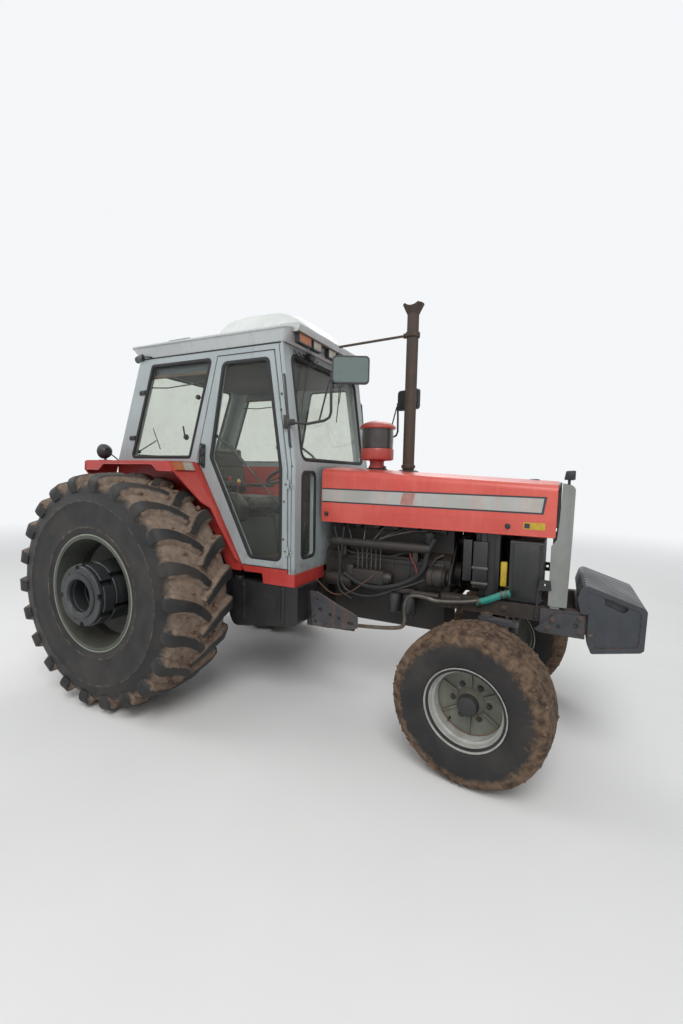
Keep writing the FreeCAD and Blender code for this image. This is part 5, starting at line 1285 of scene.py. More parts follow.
# cab outside: handles, hinge bolts, latches, stays and the shade bar over the side windows
def makeDoorFittings(side, word, node):
    form = Form("doorHandle" + word, "blackPlastic")
    face = onSide(side, 622)
    loop = [(p.x, p.y) for p in roundedLoop([(428, 1906, 8), (482, 1892, 8), (474, 1716, 8), (440, 1730, 8)], 3)]
    form.plate(loop, [], face, 7)
    grip = [(462, 1884, 4), (464, 1872, 26), (462, 1850, 34), (456, 1780, 34), (454, 1752, 26), (454, 1742, 4)]
    form.pipe([spot(x, side * (628 + out), z) for x, z, out in grip], 7, 10)
    form.turned(spot(452, side * 628, 1822), (0, side, 0), [(0, 0), (13, 0), (13, 8), (10, 12), (0, 12)], 20)
    form.paint("dullSteel")
    for x, z in ((1190, 1159), (1190, 1619), (1150, 2225), (1146, 2120), (1176, 1240), (1178, 1500)):
        form.bolt(spot(x, side * 622, z), (0, side, 0), 11)
    form.done("door_" + node)
    # the folded edge round the door, just inside the gap
    form = Form("doorRim" + word, "cabGrey")
    edge = [(606, 2512, 16), (409, 1785, 80), (826, 1040, 12), (1204, 1040, 12), (1194, 1720, 150), (1077, 2512, 16)]
    form.pipe(sideLoop(edge, side * 619.5), 3, 8, closed=True)
    form.done("door_" + node)


def makeCabSide(side, word):
    form = Form("sideLatches" + word, "blackPlastic")
    y = side * 612
    for x, z in ((-174, 2307), (-297, 1953)):
        form.prism([spot(x - 34, side * 612, z - 18), spot(x + 30, side * 612, z - 18),
                    spot(x + 36, side * 612, z + 18), spot(x - 26, side * 612, z + 18)],
                   Vector((0, side * 0.018, 0)), 4)
        form.bolt(spot(x - 16, side * 630, z), (0, side, 0), 13)
    form.turned(spot(284, y, 1951), (0, side, 0), [(0, 0), (22, 0), (22, 8), (14, 12), (14, 22), (0, 22)], 20)
    form.pipe([spot(284, side * 630, 1951), spot(276, side * 640, 2030)], 6, 8)
    form.turned(spot(396, side * 600, 2245), (0, side, 0), [(0, 0), (17, 0), (19, 10), (15, 20), (0, 20)], 20)
    form.pipe([spot(396, side * 606, 2245), spot(440, side * 606, 2238)], 5, 8)
    form.done("chassis")
    form = Form("shadeBar" + word, "shadeBlue")
    form.block((-96, side * 585 - 5, 2432), (520, side * 585 + 5, 2528), 4)
    form.paint("visorShadeAndRailBrown")
    form.block((-112, side * 590 - 7, 2412), (512, side * 590 + 7, 2434), 4)
    form.paint("blackPlastic")
    form.pipe([spot(x, side * 578, z) for x, z in ((-128, 2352), (57, 2339), (185, 2346), (328, 2352), (456, 2375))],
              5, 8)
    form.paint("dullSteel")
    for z in (2200, 2040, 1900, 1740):
        x = frontFace(z) - 22
        form.bolt(spot(x, side * 620, z), (0, side, 0), 10)
    for x, z in ((1231, 1144), (1231, 1604)):
        form.bolt(spot(x, side * 627, z), (0, side, 0), 10)
    form.done("chassis")
    # pillar joint lines and the strip round the cab's top
    form = Form("cabJoints" + word, "rubberSealAndBoreShade")
    form.pipe([spot(1238, side * 620, 1010), spot(1234, side * 620, 1757), spot(1122, side * 620, 2560)], 2.2, 6)
    form.pipe([spot(-186, side * 620, 2566), spot(1138, side * 620, 2566)], 5, 8)
    form.done("chassis")
    form = Form("frontPost" + word, "cabGrey")
    form.pipe([spot(1258, side * 612, 1010), spot(1254, side * 612, 1757), spot(1142, side * 612, 2566)], 9, 12)
    form.done("chassis")


# mirrors: a rounded housing on the CAD plate with its glass on the outer side, and the bent brace
mirrorPlace = dict(x=1643.8, y=590.5, ahead=0.9026, inward=0.4305, low=2264, high=2430, half=14)


def makeMirror(side, word):
    place = mirrorPlace
    middle = (place["low"] + place["high"]) / 2

    def onMirror(u, v, w):
        x = place["x"] + u * place["ahead"] + w * place["inward"]
        y = place["y"] - u * place["inward"] + w * place["ahead"]
        return spot(x, side * y, middle + v)

    form = Form("mirrorFace" + word, "blackPlastic")
    outer = roundedBox(-118, 118, -86, 86, 26)
    form.plate(outer, [], onMirror, -15)
    form.plate(roundedBox(-117, 117, -85, 85, 25), [roundedBox(-108, 108, -76, 76, 20)], onMirror, 17)
    form.paint("mirrorGlass")
    form.plate(roundedBox(-109, 109, -77, 77, 20), [], onMirror, 14.8)
    form.done("chassis", "mirrors")
    form = Form("mirrorArm" + word, "blackPlastic")
    arm = [(1212, 632, 2032), (1368, 636, 2018), (1488, 640, 2034), (1524, 640, 2052), (1536, 640, 2086),
           (1534, 640, 2200), (1531, 632, 2330)]
    form.pipe([spot(x, side * y, z) for x, y, z in arm], 9, 12)
    form.pipe([spot(1450, side * 638, 2034), spot(1478, side * 640, 2130), spot(1522, side * 636, 2300)], 6, 10)
    form.prism([spot(1180, side * 620, 1990), spot(1216, side * 620, 1990), spot(1212, side * 620, 2082),
                spot(1176, side * 620, 2082)], Vector((0, side * 0.024, 0)), 5)
    form.pipe([spot(1228, side * 634, 1874), spot(1212, side * 634, 2030), spot(1180, side * 634, 2330),
               spot(1166, side * 622, 2352)], 8, 12)
    form.block((1206, side * 634 - 12, 2012), (1262, side * 634 + 12, 2052), 6)
    form.pipe([spot(1228, side * 634, 1876), spot(1228, side * 612, 1868)], 6, 8)
    form.bolt(spot(1238, side * 646, 2032), (0, side, 0), 12)
    form.paint("blackSheet")
    form.turned(spot(1546, side * 630, 2330), (0, 0, 1), [(0, -14), (15, -14), (15, 14), (0, 14)], 16)
    form.done("chassis")


def onScreen(y, z, lift):
    return spot(frontFace(z) + lift, y, z)


def makeWipers():
    form = Form("wipers", "blackPlastic")
    form.block((1150, -330, 2512), (1198, -250, 2558), 10)
    form.block((1150, 210, 2512), (1198, 290, 2558), 10)
    for y, swing in ((-290, -120), (250, -120)):
        form.turned(onScreen(y, 2530, 6), (1, 0, 0.14), [(0, 0), (14, 0), (14, 14), (9, 22), (0, 22)], 16)
        form.pipe([onScreen(y, 2530, 20), onScreen(y + swing * 0.5, 2400, 20), onScreen(y + swing, 2270, 16)],
                  [6, 4.5, 3.5], 8)
        form.pipe([onScreen(y + swing + 66, 2440, 8), onScreen(y + swing, 2270, 9), onScreen(y + swing - 70, 2110, 8)],
                  4, 6)
    for k in range(4):
        start = -500 + 62 * k
        form.pipe([onScreen(start, 2545, 10), onScreen(start + 40, 2500 - 9 * k, 26), onScreen(start + 90, 2496, 22),
                   onScreen(start + 150, 2540, 12)], 4, 6)
    form.done("chassis")
    form = Form("rearWiper", "blackPlastic")
    y = -470
    form.turned(spot(rearFace(1850) - 4, y + 40, 1850), (-1, 0, 0.3), [(0, 0), (16, 0), (16, 14), (0, 14)], 16)
    form.pipe([spot(rearFace(1850) - 16, y + 40, 1850), spot(rearFace(1960) - 18, y + 200, 1960)], 5, 8)
    form.pipe([spot(rearFace(1890) - 10, y + 260, 1890), spot(rearFace(2060) - 10, y + 130, 2060)], 4, 6)
    form.done("chassis")


# roof: rolled rim, seam, a dark sheet under the visor as painted shade, lamp frames, rear lamps and the smooth blower
# dome
def makeRoofTrim():
    form = Form("roofRim", "roofWhite")
    rim = [(-266, -650, 40), (1218, -650, 40), (1218, 650, 40), (-266, 650, 40)]
    form.pipe([spot(p.x, p.y, 2655) for p in roundedLoop(rim, 5)], 8, 10, closed=True)
    form.pipe([spot(-24, -500, 2700), spot(-16, -500, 2722), spot(0, -500, 2727), spot(200, -500, 2729),
               spot(211, -500, 2724), spot(214, -500, 2706)], 4.5, 8)
    form.done("chassis")
    form = Form("roofSeam", "rubberSealAndBoreShade")
    seam = [(-206, -616, 24), (1152, -616, 24), (1152, 616, 24), (-206, 616, 24)]
    form.pipe([spot(p.x, p.y, 2575) for p in roundedLoop(seam, 5)], 5, 8, closed=True)
    form.done("chassis")
    # dark brown sheet under the roof's front overhang: painted shade on the visor's underside
    form = Form("visorShadeSheetAndLampFrames", "visorShadeAndRailBrown")
    sheet = [(1250, 2641), (1247, 2634.5), (1186.5, 2634.5), (1127, 2595), (1127, 2591), (1188, 2630.5),
             (1250, 2630.5), (1254, 2640)]
    form.prism([spot(x, -584, z) for x, z in sheet], Vector((0, 1.168, 0)), 0)
    form.paint("blackPlastic")
    frameZ = 2605
    for y, half in [(y, 62) for y in (-310, -80, 80, 310)] + [(-480, 84), (480, 84)]:
        form.plate(roundedBox(y - half, y + half, frameZ - 37, frameZ + 35, 8),
                   [roundedBox(y - half + 7, y + half - 7, frameZ - 28, frameZ + 28, 6)],
                   lambda u, v, w: spot(1212 + w, u, v), 34)
        form.pipe([spot(1205, y, frameZ), spot(1178, y, frameZ + 12)], 10, 10)
    form.done("chassis")
    form = Form("roofRearLamps", "blackPlastic")
    for side in (-1, 1):
        form.prism([spot(-262, side * 560, 2556), spot(-150, side * 600, 2552), spot(-150, side * 600, 2604),
                    spot(-262, side * 560, 2606)], Vector((0, side * 0.05, 0)), 10)
        form.turned(spot(-262, side * 585, 2581), (-1, 0, 0), [(20, 0), (27, 0), (27, 10), (22, 10)], 24, closed=True)
        form.pipe([spot(-180, side * 620, 2590), spot(-120, side * 640, 2580), spot(-60, side * 628, 2572)], 6, 8)
    form.paint("lampClear")
    for side in (-1, 1):
        form.turned(spot(-262, side * 585, 2581), (-1, 0, 0), [(0, 0), (21, 0), (20, 5), (0, 8)], 24)
    form.done("chassis")


# columns: share of the dome's height, back, front and half width, from its foot to its crown
domeLevels = [(-0.02, 266, 1184, 462), (0.06, 262, 1188, 466), (0.13, 266, 1184, 462), (0.16, 274, 1174, 454),
              (0.20, 296, 1156, 444), (0.34, 312, 1138, 434), (0.50, 334, 1116, 420), (0.64, 362, 1088, 400),
              (0.76, 400, 1052, 374), (0.86, 450, 1004, 336), (0.93, 512, 944, 288), (0.975, 586, 872, 226),
              (0.998, 660, 800, 120)]


def makeDome():
    form = Form("roofBlower", "domeWhite")
    rings = []
    for share, back, front, half in domeLevels:
        middle, reach = (back + front) / 2, (front - back) / 2
        z = 2700 + 206 * share
        ring = []
        for k in range(88):
            angle = 2 * math.pi * k / 88
            c, s = math.cos(angle), math.sin(angle)
            x = middle + reach * math.copysign(abs(c) ** 0.55, c)
            y = half * math.copysign(abs(s) ** 0.5, s)
            ring.append(spot(x, y, z))
        rings.append(ring)
    form.skin(rings)
    form.paint("rubberSealAndBoreShade")
    form.pipe([spot(725 + 451 * math.copysign(abs(math.cos(a)) ** 0.55, math.cos(a)),
                    455 * math.copysign(abs(math.sin(a)) ** 0.5, math.sin(a)), 2727)
               for a in (2 * math.pi * k / 88 for k in range(88))], 3.5, 6, closed=True)
    form.paint("domeWhite")
    # intake louvres at the rear, and bolts on both flanks
    for k in range(5):
        form.block((300 + 13 * k, -190, 2752 + 22 * k), (310 + 13 * k, 190, 2764 + 22 * k), 2)
    for side in (-1, 1):
        for x in (420, 1020):
            form.bolt(spot(x, side * 460, 2712), (0, side, 0), 12)
    form.done("chassis", "roof_dome")


# exhaust clamp and the bowl cleaner beside it
def makeStacks():
    form = Form("exhaustClamp", "rustyPipe")
    form.turned(spot(1850, 0, 2702), (0, 0, 1), [(43, -16), (52, -16), (53, 0), (52, 16), (43, 16)], 36, closed=True)
    form.turned(spot(1850, 0, 1762), (0, 0, 1), [(43, -12), (50, -12), (51, 8), (44, 14)], 36, closed=True)
    form.turned(spot(1850, 0, 2240), (0, 0, 1), [(41.5, -5), (44, -3), (44, 3), (41.5, 5)], 36, closed=True)
    form.block((1782, -12, 2686), (1806, 12, 2718), 3)
    form.bolt(spot(1794, -12, 2702), (0, -1, 0), 14)
    form.done("chassis")
    form = Form("bowlCleaner", "cleanerRed")
    centre = spot(1602, 0, 0)
    form.turned(centre, (0, 0, 1), [(0, 1700), (54, 1700), (54, 1796), (60, 1802), (108, 1806), (121, 1812), (124, 1820),
                                    (124, 1884), (121, 1892), (112, 1893), (0, 1893)], 56)
    form.paint("bowlDark")
    form.turned(centre, (0, 0, 1), [(0, 1890), (112, 1890), (117, 1896), (119, 1960), (117, 2044), (112, 2050),
                                    (0, 2050)], 56)
    form.paint("cleanerRed")
    form.turned(centre, (0, 0, 1), [(0, 2038), (126, 2038), (134, 2041), (137, 2048), (134, 2056), (122, 2068),
                                    (100, 2082), (60, 2096), (44, 2100), (0, 2100)], 56)
    form.turned(centre, (0, 0, 1), [(52, 1742), (60, 1742), (61, 1754), (60, 1766), (52, 1766)], 40, closed=True)
    form.paint("dullSteel")
    form.block((1656, -10, 1744), (1674, 10, 1764), 2)
    form.bolt(spot(1602, 0, 2100), (0, 0, 1), 2, washer=False)
    form.done("chassis", "pre_cleaner")


# fenders: rolled lips, a ribbed top, lamps on their rear ends
def makeFenderTrim(side, word):
    form = Form("fenderEdge" + word, "deepRed")
    lip = [(-512, 1692), (-372, 1692), (-312, 1738), (210, 1738), (262, 1692), (400, 1692)]
    form.pipe([spot(x, side * 876, z) for x, z in lip], 5, 8)
    form.pipe([spot(-530, side * 640, 1759), spot(-530, side * 850, 1759), spot(-512, side * 872, 1759),
               spot(360, side * 872, 1759)], 5, 8)
    for x in (-360, -120, 120):
        form.block((x, side * 760 - 96, 1760), (x + 26, side * 760 + 96, 1766), 3)
    form.done("chassis")
    form = Form("fenderLamps" + word, "blackPlastic")
    form.turned(spot(-470, side * 750, 1838), (-1, 0, 0),
                [(0, -46), (30, -44), (48, -30), (58, -6), (60, 14), (57, 18), (0, 18)], 32)
    form.pipe([spot(-462, side * 750, 1762), spot(-462, side * 750, 1790)], 10, 10)
    form.block((-500, side * 750 - 36, 1762), (-424, side * 750 + 36, 1770), 3)
    form.pipe([spot(-440, side * 720, 1820), spot(-420, side * 690, 1790), spot(-420, side * 660, 1766)], 5, 8)
    tail = side * 790
    form.plate(roundedBox(tail - 52, tail + 52, 1698, 1752, 8), [roundedBox(tail - 45, tail + 45, 1705, 1745, 6)],
               lambda u, v, w: spot(-518 - w, u, v), 30)
    form.paint("lampClear")
    form.turned(spot(-488, side * 750, 1838), (-1, 0, 0), [(0, 0), (54, 0), (50, 6), (30, 11), (0, 13)], 32)
    form.paint("lampRed")
    form.plate(roundedBox(tail - 46, tail + 8, 1704, 1746, 6), [], lambda u, v, w: spot(-519 - w, u, v), 27)
    form.paint("lampAmber")
    form.plate(roundedBox(tail + 9, tail + 46, 1704, 1746, 6), [], lambda u, v, w: spot(-519 - w, u, v), 27)
    form.done("chassis")


# tool box and tank under the cab: straps, lid, filler and a tread for the foot
def makeTankTrim(side, word):
    form = Form("tankTrim" + word, "blackSheet")
    for x in (812, 1150):
        form.prism([spot(x, side * 609, 622), spot(x + 34, side * 609, 622), spot(x + 34, side * 609, 908),
                    spot(x, side * 609, 908)], Vector((0, side * 0.006, 0)), 2)
        form.bolt(spot(x + 17, side * 615, 880), (0, side, 0), 14)
    form.plate(roundedBox(880, 1120, 700, 860, 18), [roundedBox(892, 1108, 712, 848, 12)], onSide(side, 609), 5)
    form.turned(spot(760, side * 560, 910), (0, 0, 1), [(0, 0), (40, 0), (40, 16), (34, 22), (0, 22)], 24)
    for k in range(6):
        form.block((1010 + 44 * k, side * 560 - 44, 911), (1030 + 44 * k, side * 560 + 44, 918), 2)
    form.done("chassis")


for side, word, node in sides:
    makeDoorFittings(side, word, node)
    makeCabSide(side, word)
    makeMirror(side, word)
    makeFenderTrim(side, word)
    makeTankTrim(side, word)
makeWipers()
makeRoofTrim()
makeDome()
makeStacks()
print("cab and roof dressed")


# inside the cab: lining, floor mat, console, dashboard, pedals and levers
def makeLining():
    form = Form("cabLining", "liningDark")
    form.block((-150, -562, 2478), (1082, 562, 2556), 22)
    form.prism([spot(-428, -562, 1313), spot(-418, -562, 1313), spot(-418, -562, 1752), spot(-428, -562, 1752)],
               Vector((0, 1.124, 0)), 0)
    form.done("chassis")
    form = Form("floorMat", "floorBrown")
    form.block((712, -560, 1012), (1200, 560, 1020), 3)
    for k in range(15):
        form.block((730 + 30 * k, -540, 1019), (742 + 30 * k, 540, 1023), 1.5)
    form.block((-420, -558, 1310), (596, 558, 1316), 3)
    form.done("chassis")


def makeDashboard():
    form = Form("dashboard", "blackPlastic")
    shell = [(1022, 1480, 20), (1166, 1470, 20), (1164, 1692, 26), (1090, 1722, 26), (996, 1604, 24)]
    form.prism([spot(p.x, -196, p.y) for p in roundedLoop(shell, 4)], Vector((0, 0.392, 0)), 12, 3)
    column = [spot(958, 0, 1440), spot(905, 0, 1540), spot(848, 0, 1648)]
    form.pipe(column, [40, 38, 30], 20)
    form.pipe([spot(868, 0, 1610), spot(862, -120, 1640), spot(856, -190, 1668)], [6, 5, 5], 8)
    form.pipe([spot(868, 0, 1610), spot(862, 120, 1640), spot(856, 180, 1660)], [6, 5, 5], 8)
    slope = Vector((-0.782, 0, 0.623))
    for y, size in ((-120, 34), (-38, 44), (52, 34), (126, 26)):
        point = spot(1040, y, 1662)
        form.turned(point, slope, [(size - 5, 0), (size, 0), (size, 7), (size - 3, 9), (size - 5, 7)], 32, closed=True)
    form.paint("dialPale")
    for y, size in ((-120, 34), (-38, 44), (52, 34), (126, 26)):
        form.turned(spot(1040, y, 1662), slope, [(0, 0), (size - 4, 0), (size - 4, 3), (0, 3)], 32)
    form.done("chassis", "steering_column")
    form = Form("lowerConsole", "castBlack")
    form.prism([spot(1036, -146, 1013), spot(1172, -146, 1013), spot(1166, -146, 1480), spot(1030, -146, 1480)],
               Vector((0, 0.292, 0)), 14, 3)
    form.done("chassis")


def makeSteeringWheel():
    form = Form("steeringWheelGrip", "blackPlastic")
    axis = Vector((-0.4695, 0, 0.8829))
    centre = spot(820, 0, 1700)
    grip = [(195 + 15 * math.cos(a), 15 * math.sin(a)) for a in (2 * math.pi * k / 14 for k in range(14))]

    def ridged(radius, along, angle):
        return (radius - (1.4 if along < 0 and math.cos(angle * 36) > 0.2 else 0.0)), along

    form.turned(centre, axis, grip, 144, closed=True, warp=ridged)
    form.turned(centre, axis, [(0, -34), (34, -34), (42, -24), (44, -6), (38, 6), (24, 13), (0, 15)], 36)
    across = Vector((0, 1, 0))
    ahead = across.cross(axis)
    for turn in (-30, 90, 210):
        angle = math.radians(turn)
        out = ahead * math.cos(angle) + across * math.sin(angle)
        form.pipe([centre + out * 0.034 - axis * 0.012, centre + out * 0.11 - axis * 0.008, centre + out * 0.188],
                  7.5, 10)
    form.done("steering_wheel", "steering_wheel")


def makeControls():
    form = Form("leverConsole", "blackPlastic")
    form.prism([spot(x, -440, z) for x, z in ((236, 1312), (640, 1312), (652, 1440), (560, 1530), (250, 1560))],
               Vector((0, 0.13, 0)), 18, 3)
    form.prism([spot(x, 310, z) for x, z in ((300, 1312), (560, 1312), (560, 1420), (300, 1440))],
               Vector((0, 0.12, 0)), 18, 3)
    form.pipe([spot(880, 0, 1018), spot(870, 20, 1180), spot(820, 40, 1400)], [11, 8, 7], 10)
    form.pipe([spot(790, -90, 1018), spot(770, -100, 1190), spot(740, -110, 1330)], [11, 8, 7], 10)
    levers = [(590, -404, 1500, "knobRed"), (560, -372, 1520, "stickerYellow"), (500, -404, 1540, "knobRed"),
              (450, -372, 1545, "blackPlastic"), (400, -404, 1550, "blackPlastic")]
    for x, y, z, knob in levers:
        form.paint("dullSteel")
        form.pipe([spot(x, y, z), spot(x + 24, y, z + 90)], 4.5, 8)
        form.paint(knob)
        form.turned(spot(x + 24, y, z + 86), (0.25, 0, 1), [(0, 0), (9, 0), (14, 12), (14, 24), (8, 34), (0, 36)], 18)
    form.paint("blackPlastic")
    for x, y, z in ((820, 40, 1396), (740, -110, 1326)):
        form.turned(spot(x, y, z), (-0.3, 0, 1), [(0, 0), (12, 0), (20, 14), (20, 30), (12, 42), (0, 44)], 20)
    form.paint("dullSteel")
    for y in (-250, -196, 206):
        form.pipe([spot(1224, y, 1410), spot(1130, y, 1310), spot(1090, y, 1200), spot(1040, y, 1122)], 8, 8)
        form.paint("blackPlastic")
        form.prism([spot(1052, y - 24, 1130), spot(1052, y + 24, 1130), spot(1016, y + 24, 1080),
                    spot(1016, y - 24, 1080)], Vector((-0.009, 0, 0.007)), 3)
        form.paint("dullSteel")
    form.done("chassis")
    # strut that holds a door open, kept on the pillar behind it
    for side, word, node in sides:
        form = Form("doorStrut" + word, "blackPlastic")
        form.pipe([spot(500, side * 590, 1998), spot(694, side * 586, 1868), spot(820, side * 584, 1752)], 11, 12)
        form.pipe([spot(820, side * 584, 1752), spot(960, side * 586, 1624), spot(1150, side * 590, 1452)], 7, 10)
        form.block((486, side * 592 - 14, 1984), (516, side * 592 + 14, 2012), 5)
        form.block((1136, side * 592 - 14, 1438), (1166, side * 592 + 14, 1466), 5)
        form.done("door_" + node)


# seat: two pads swollen by cloth, sewn channels, arm rests and a bellows foot
seatPads = [
    ("seatCushion", [(206, 1410, 22), (642, 1410, 26), (644, 1466, 26), (240, 1474, 22)], 226, (282, 396, 510), "x"),
    ("seatBack", [(148, 1500, 18), (216, 1500, 18), (140, 1918, 34), (70, 1918, 34)], 222, (1620, 1735, 1850), "z"),
]
padRules = dict(voxel=0.006, pressure=4.0, frames=20, cap=0.024, seamDeep=0.006, seamWide=0.011)


def makePad(name, outline, half):
    corners = [spot(p.x, -half, p.y) for p in roundedLoop(outline, 5)]
    form = Form(name + "Start", "seatCloth")
    form.prism(corners, Vector((0, 2 * half / 1000, 0)), 22, 4)
    mesh = bpy.data.meshes.new(name + "Start")
    bmesh.ops.recalc_face_normals(form.bm, faces=form.bm.faces)
    form.bm.to_mesh(mesh)
    form.bm.free()
    start = bpy.data.objects.new(name + "Start", mesh)
    scene.collection.objects.link(start)
    remesh = start.modifiers.new("voxels", "REMESH")
    remesh.mode = "VOXEL"
    remesh.voxel_size = padRules["voxel"]
    held = bpy.context.evaluated_depsgraph_get()
    fine = bpy.data.meshes.new_from_object(start.evaluated_get(held))
    bpy.data.objects.remove(start)
    fine.name = name
    fine.materials.clear()
    fine.materials.append(madeFinishes["seatCloth"])
    pad = bpy.data.objects.new(name, fine)
    scene.collection.objects.link(pad)
    return pad


def swellPads(pads):
    for pad in pads:
        cloth = pad.modifiers.new("cloth", "CLOTH")
        cloth.settings.use_pressure = True
        cloth.settings.uniform_pressure_force = padRules["pressure"]
        cloth.settings.effector_weights.gravity = 0
        cloth.collision_settings.use_collision = False
    for step in range(1, padRules["frames"] + 1):
        scene.frame_set(step)
    held = bpy.context.evaluated_depsgraph_get()
    for pad in pads:
        swollen = pad.evaluated_get(held).to_mesh()
        places = [v.co.copy() for v in swollen.vertices]
        pad.modifiers.clear()
        for vert, place in zip(pad.data.vertices, places):
            move = place - vert.co
            if move.length > padRules["cap"]:
                move *= padRules["cap"] / move.length
            vert.co += move
    scene.frame_set(1)


def sewPad(pad, lines, along):
    up = Vector((0, 0, 1)) if along == "x" else Vector((0.95, 0, 0.17))
    for vert in pad.data.vertices:
        x, z = (vert.co.x - axleX) * 1000, vert.co.z * 1000
        off = min(abs((x if along == "x" else z) - line) for line in lines) / 1000
        off = min(off, abs(abs(vert.co.y) - 0.165))
        if off < padRules["seamWide"] and vert.normal.dot(up) > 0.3:
            share = 1 - (off / padRules["seamWide"]) ** 2
            vert.co -= up * (padRules["seamDeep"] * share)
    for face in pad.data.polygons:
        face.use_smooth = True


def makeSeat():
    pads = [makePad(name, outline, half) for name, outline, half, lines, along in seatPads]
    swellPads(pads)
    for pad, (name, outline, half, lines, along) in zip(pads, seatPads):
        sewPad(pad, lines, along)
        pad.modifiers.new("smooth", "SUBSURF").levels = 1
        pad.modifiers["smooth"].render_levels = 1
        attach(pad, "chassis")
    form = Form("seatFoot", "blackPlastic")
    for k in range(5):
        wide = 132 if k % 2 else 146
        low = 1314 + 17 * k
        form.block((236 + (146 - wide), -wide, low), (500 - (146 - wide), wide, low + 16), 6)
    form.block((214, -170, 1398), (620, 170, 1410), 4)
    form.paint("dullSteel")
    for side in (-1, 1):
        form.pipe([spot(120, side * 236, 1560), spot(170, side * 262, 1570), spot(200, side * 262, 1572)], 8, 10)
    form.paint("blackPlastic")
    for side in (-1, 1):
        form.block((180, side * 262 - 26, 1560), (470, side * 262 + 26, 1592), 13)
    form.prism([spot(60, -180, 1560), spot(44, -180, 1900), spot(58, -180, 1902), spot(116, -180, 1500)],
               Vector((0, 0.36, 0)), 4)
    form.done("chassis", "seat")


makeLining()
makeDashboard()
makeSteeringWheel()
makeControls()
makeSeat()
print("cab furnished")


# rear: couplers, guard round the power shaft, and the bolts of the axle housings
def makeRearFittings():
    form = Form("rearFittings", "greasyIron")
    for side in (-1, 1):
        for k in range(10):
            angle = 2 * math.pi * k / 10
            form.bolt(spot(math.cos(angle) * 132, side * 755, 837 + math.sin(angle) * 132), (0, -side, 0), 20)
        for k in range(9):
            angle = 2 * math.pi * k / 9
            form.bolt(spot(math.cos(angle) * 166, side * 262, 837 + math.sin(angle) * 166), (0, side, 0), 20)
        form.turned(spot(-150, side * 275, 520), (0, side, 0), [(0, 0), (22, 0), (22, 6), (14, 12), (0, 12)], 20)
        for x in range(1400, 2180, 97):
            form.bolt(spot(x, side * 218, 900), (0, 0, -1), 14)
    form.turned(spot(-260, 0, 640), (-1, 0, 0), [(22, 0), (92, 0), (92, 12), (70, 14), (60, 20), (40, 22), (34, 34),
                                                 (22, 34)], 40, closed=True)
    for k in range(8):
        angle = 2 * math.pi * k / 8
        form.bolt(spot(-272, math.cos(angle) * 80, 640 + math.sin(angle) * 80), (-1, 0, 0), 14, washer=False)
    form.block((-276, -150, 1000), (-250, 150, 1100), 6)
    form.turned(spot(450, 0, 588), (0, 0, -1), [(0, 0), (30, 0), (30, 10), (16, 14), (0, 14)], 6)
    form.turned(spot(1700, 0, 624), (0, 0, -1), [(0, 0), (26, 0), (26, 8), (16, 20), (0, 20)], 6)
    form.paint("frameBrown")
    guard = [(-100, 700), (-100, 760), (100, 760), (100, 700), (110, 700), (110, 772), (-110, 772), (-110, 700)]
    form.prism([spot(-256, y, z) for y, z in guard], Vector((-0.116, 0, 0)), 0)
    for x in (-175, 165):
        for side in (-1, 1):
            form.bolt(spot(x, side * 60, 520), (0, side, 0), 20)
    form.paint("dullSteel")
    for y in (-112, -42, 42, 112):
        form.turned(spot(-274, y, 1052), (-1, 0, 0), [(0, 0), (22, 0), (22, 20), (17, 24), (17, 44), (21, 48),
                                                       (21, 60), (0, 60)], 24)
    for knob, places in (("knobRed", (-112, 42)), ("blackPlastic", (-42, 112))):
        form.paint(knob)
        for y in places:
            form.turned(spot(-334, y, 1052), (-1, 0, 0), [(0, 0), (23, 0), (23, 10), (16, 18), (0, 18)], 24)
    form.turned(spot(-478, 380, 1560), (-1, 0, 0), [(0, 0), (34, 0), (34, 30), (38, 34), (38, 46), (0, 50)], 28)
    form.done("chassis")
    form = Form("rockerCaps", "greasyIron")
    for side in (-1, 1):
        form.turned(spot(-190, side * 327, 1130), (0, side, 0), [(0, 0), (34, 0), (34, 8), (22, 14), (0, 14)], 24)
    form.done("lift_arms")
    for side, word, node in sides:
        line = [(-300, 112, 1062), (-345, 118, 1090), (-350, 128, 1140), (-300, 136, 1186), (-230, 140, 1176),
                (-200, 140, 1135)]
        hose("liftHose" + word, "rubberSealAndBoreShade", "chassis", [(x, side * y, z) for x, y, z in line], 17)


# rolled lips of the rear rims
def makeRearRimLips(side, word, node):
    form = Form("rearRimLips" + word, "rimLip")
    centre = spot(0, side * rearTyre["track"], rearTyre["radius"])
    for along in (-258, 258):
        lip = [(407 + 5 * math.cos(a), along + 5 * math.sin(a)) for a in (2 * math.pi * k / 10 for k in range(10))]
        form.turned(centre, (0, 1, 0), lip, 144, closed=True)
    form.done("rear_wheel_" + node)


for side, word, node in sides:
    makeRearRimLips(side, word, node)
makeRearFittings()
print("rear dressed")


# dried mud: small lumps on the treads of the rear tyres and on the treads and shoulders of the front tyres
def clodPoints(point, size, seed):
    lump = bmesh.new()
    bmesh.ops.create_icosphere(lump, subdivisions=2, radius=1)
    points = []
    for vert in lump.verts:
        rough = 1 + 0.5 * noise.fractal(vert.co * 1.3 + Vector((seed, 0, 0)), 0.8, 2.0, 3)
        points.append(point + vert.co * (size * rough / 1000))
    lump.verts.index_update()
    faces = [[v.index for v in face.verts] for face in lump.faces]
    lump.free()
    return points, faces


def makeClods(name, body, centre, axis, ahead, base, band, count, seed, high):
    form = Form(name, "dryMud")
    rnd = random.Random(seed)
    for k in range(count):
        angle = rnd.uniform(0, 2 * math.pi)
        way = ahead * math.sin(angle) + Vector((0, 0, math.cos(angle)))
        size = rnd.uniform(7, high)
        across = rnd.choice((-1, 1)) * rnd.uniform(*band)
        point = centre + way * ((base + size * 0.1) / 1000) + axis * (across / 1000)
        form.absorb(*clodPoints(point, size, k))
    form.done(body)


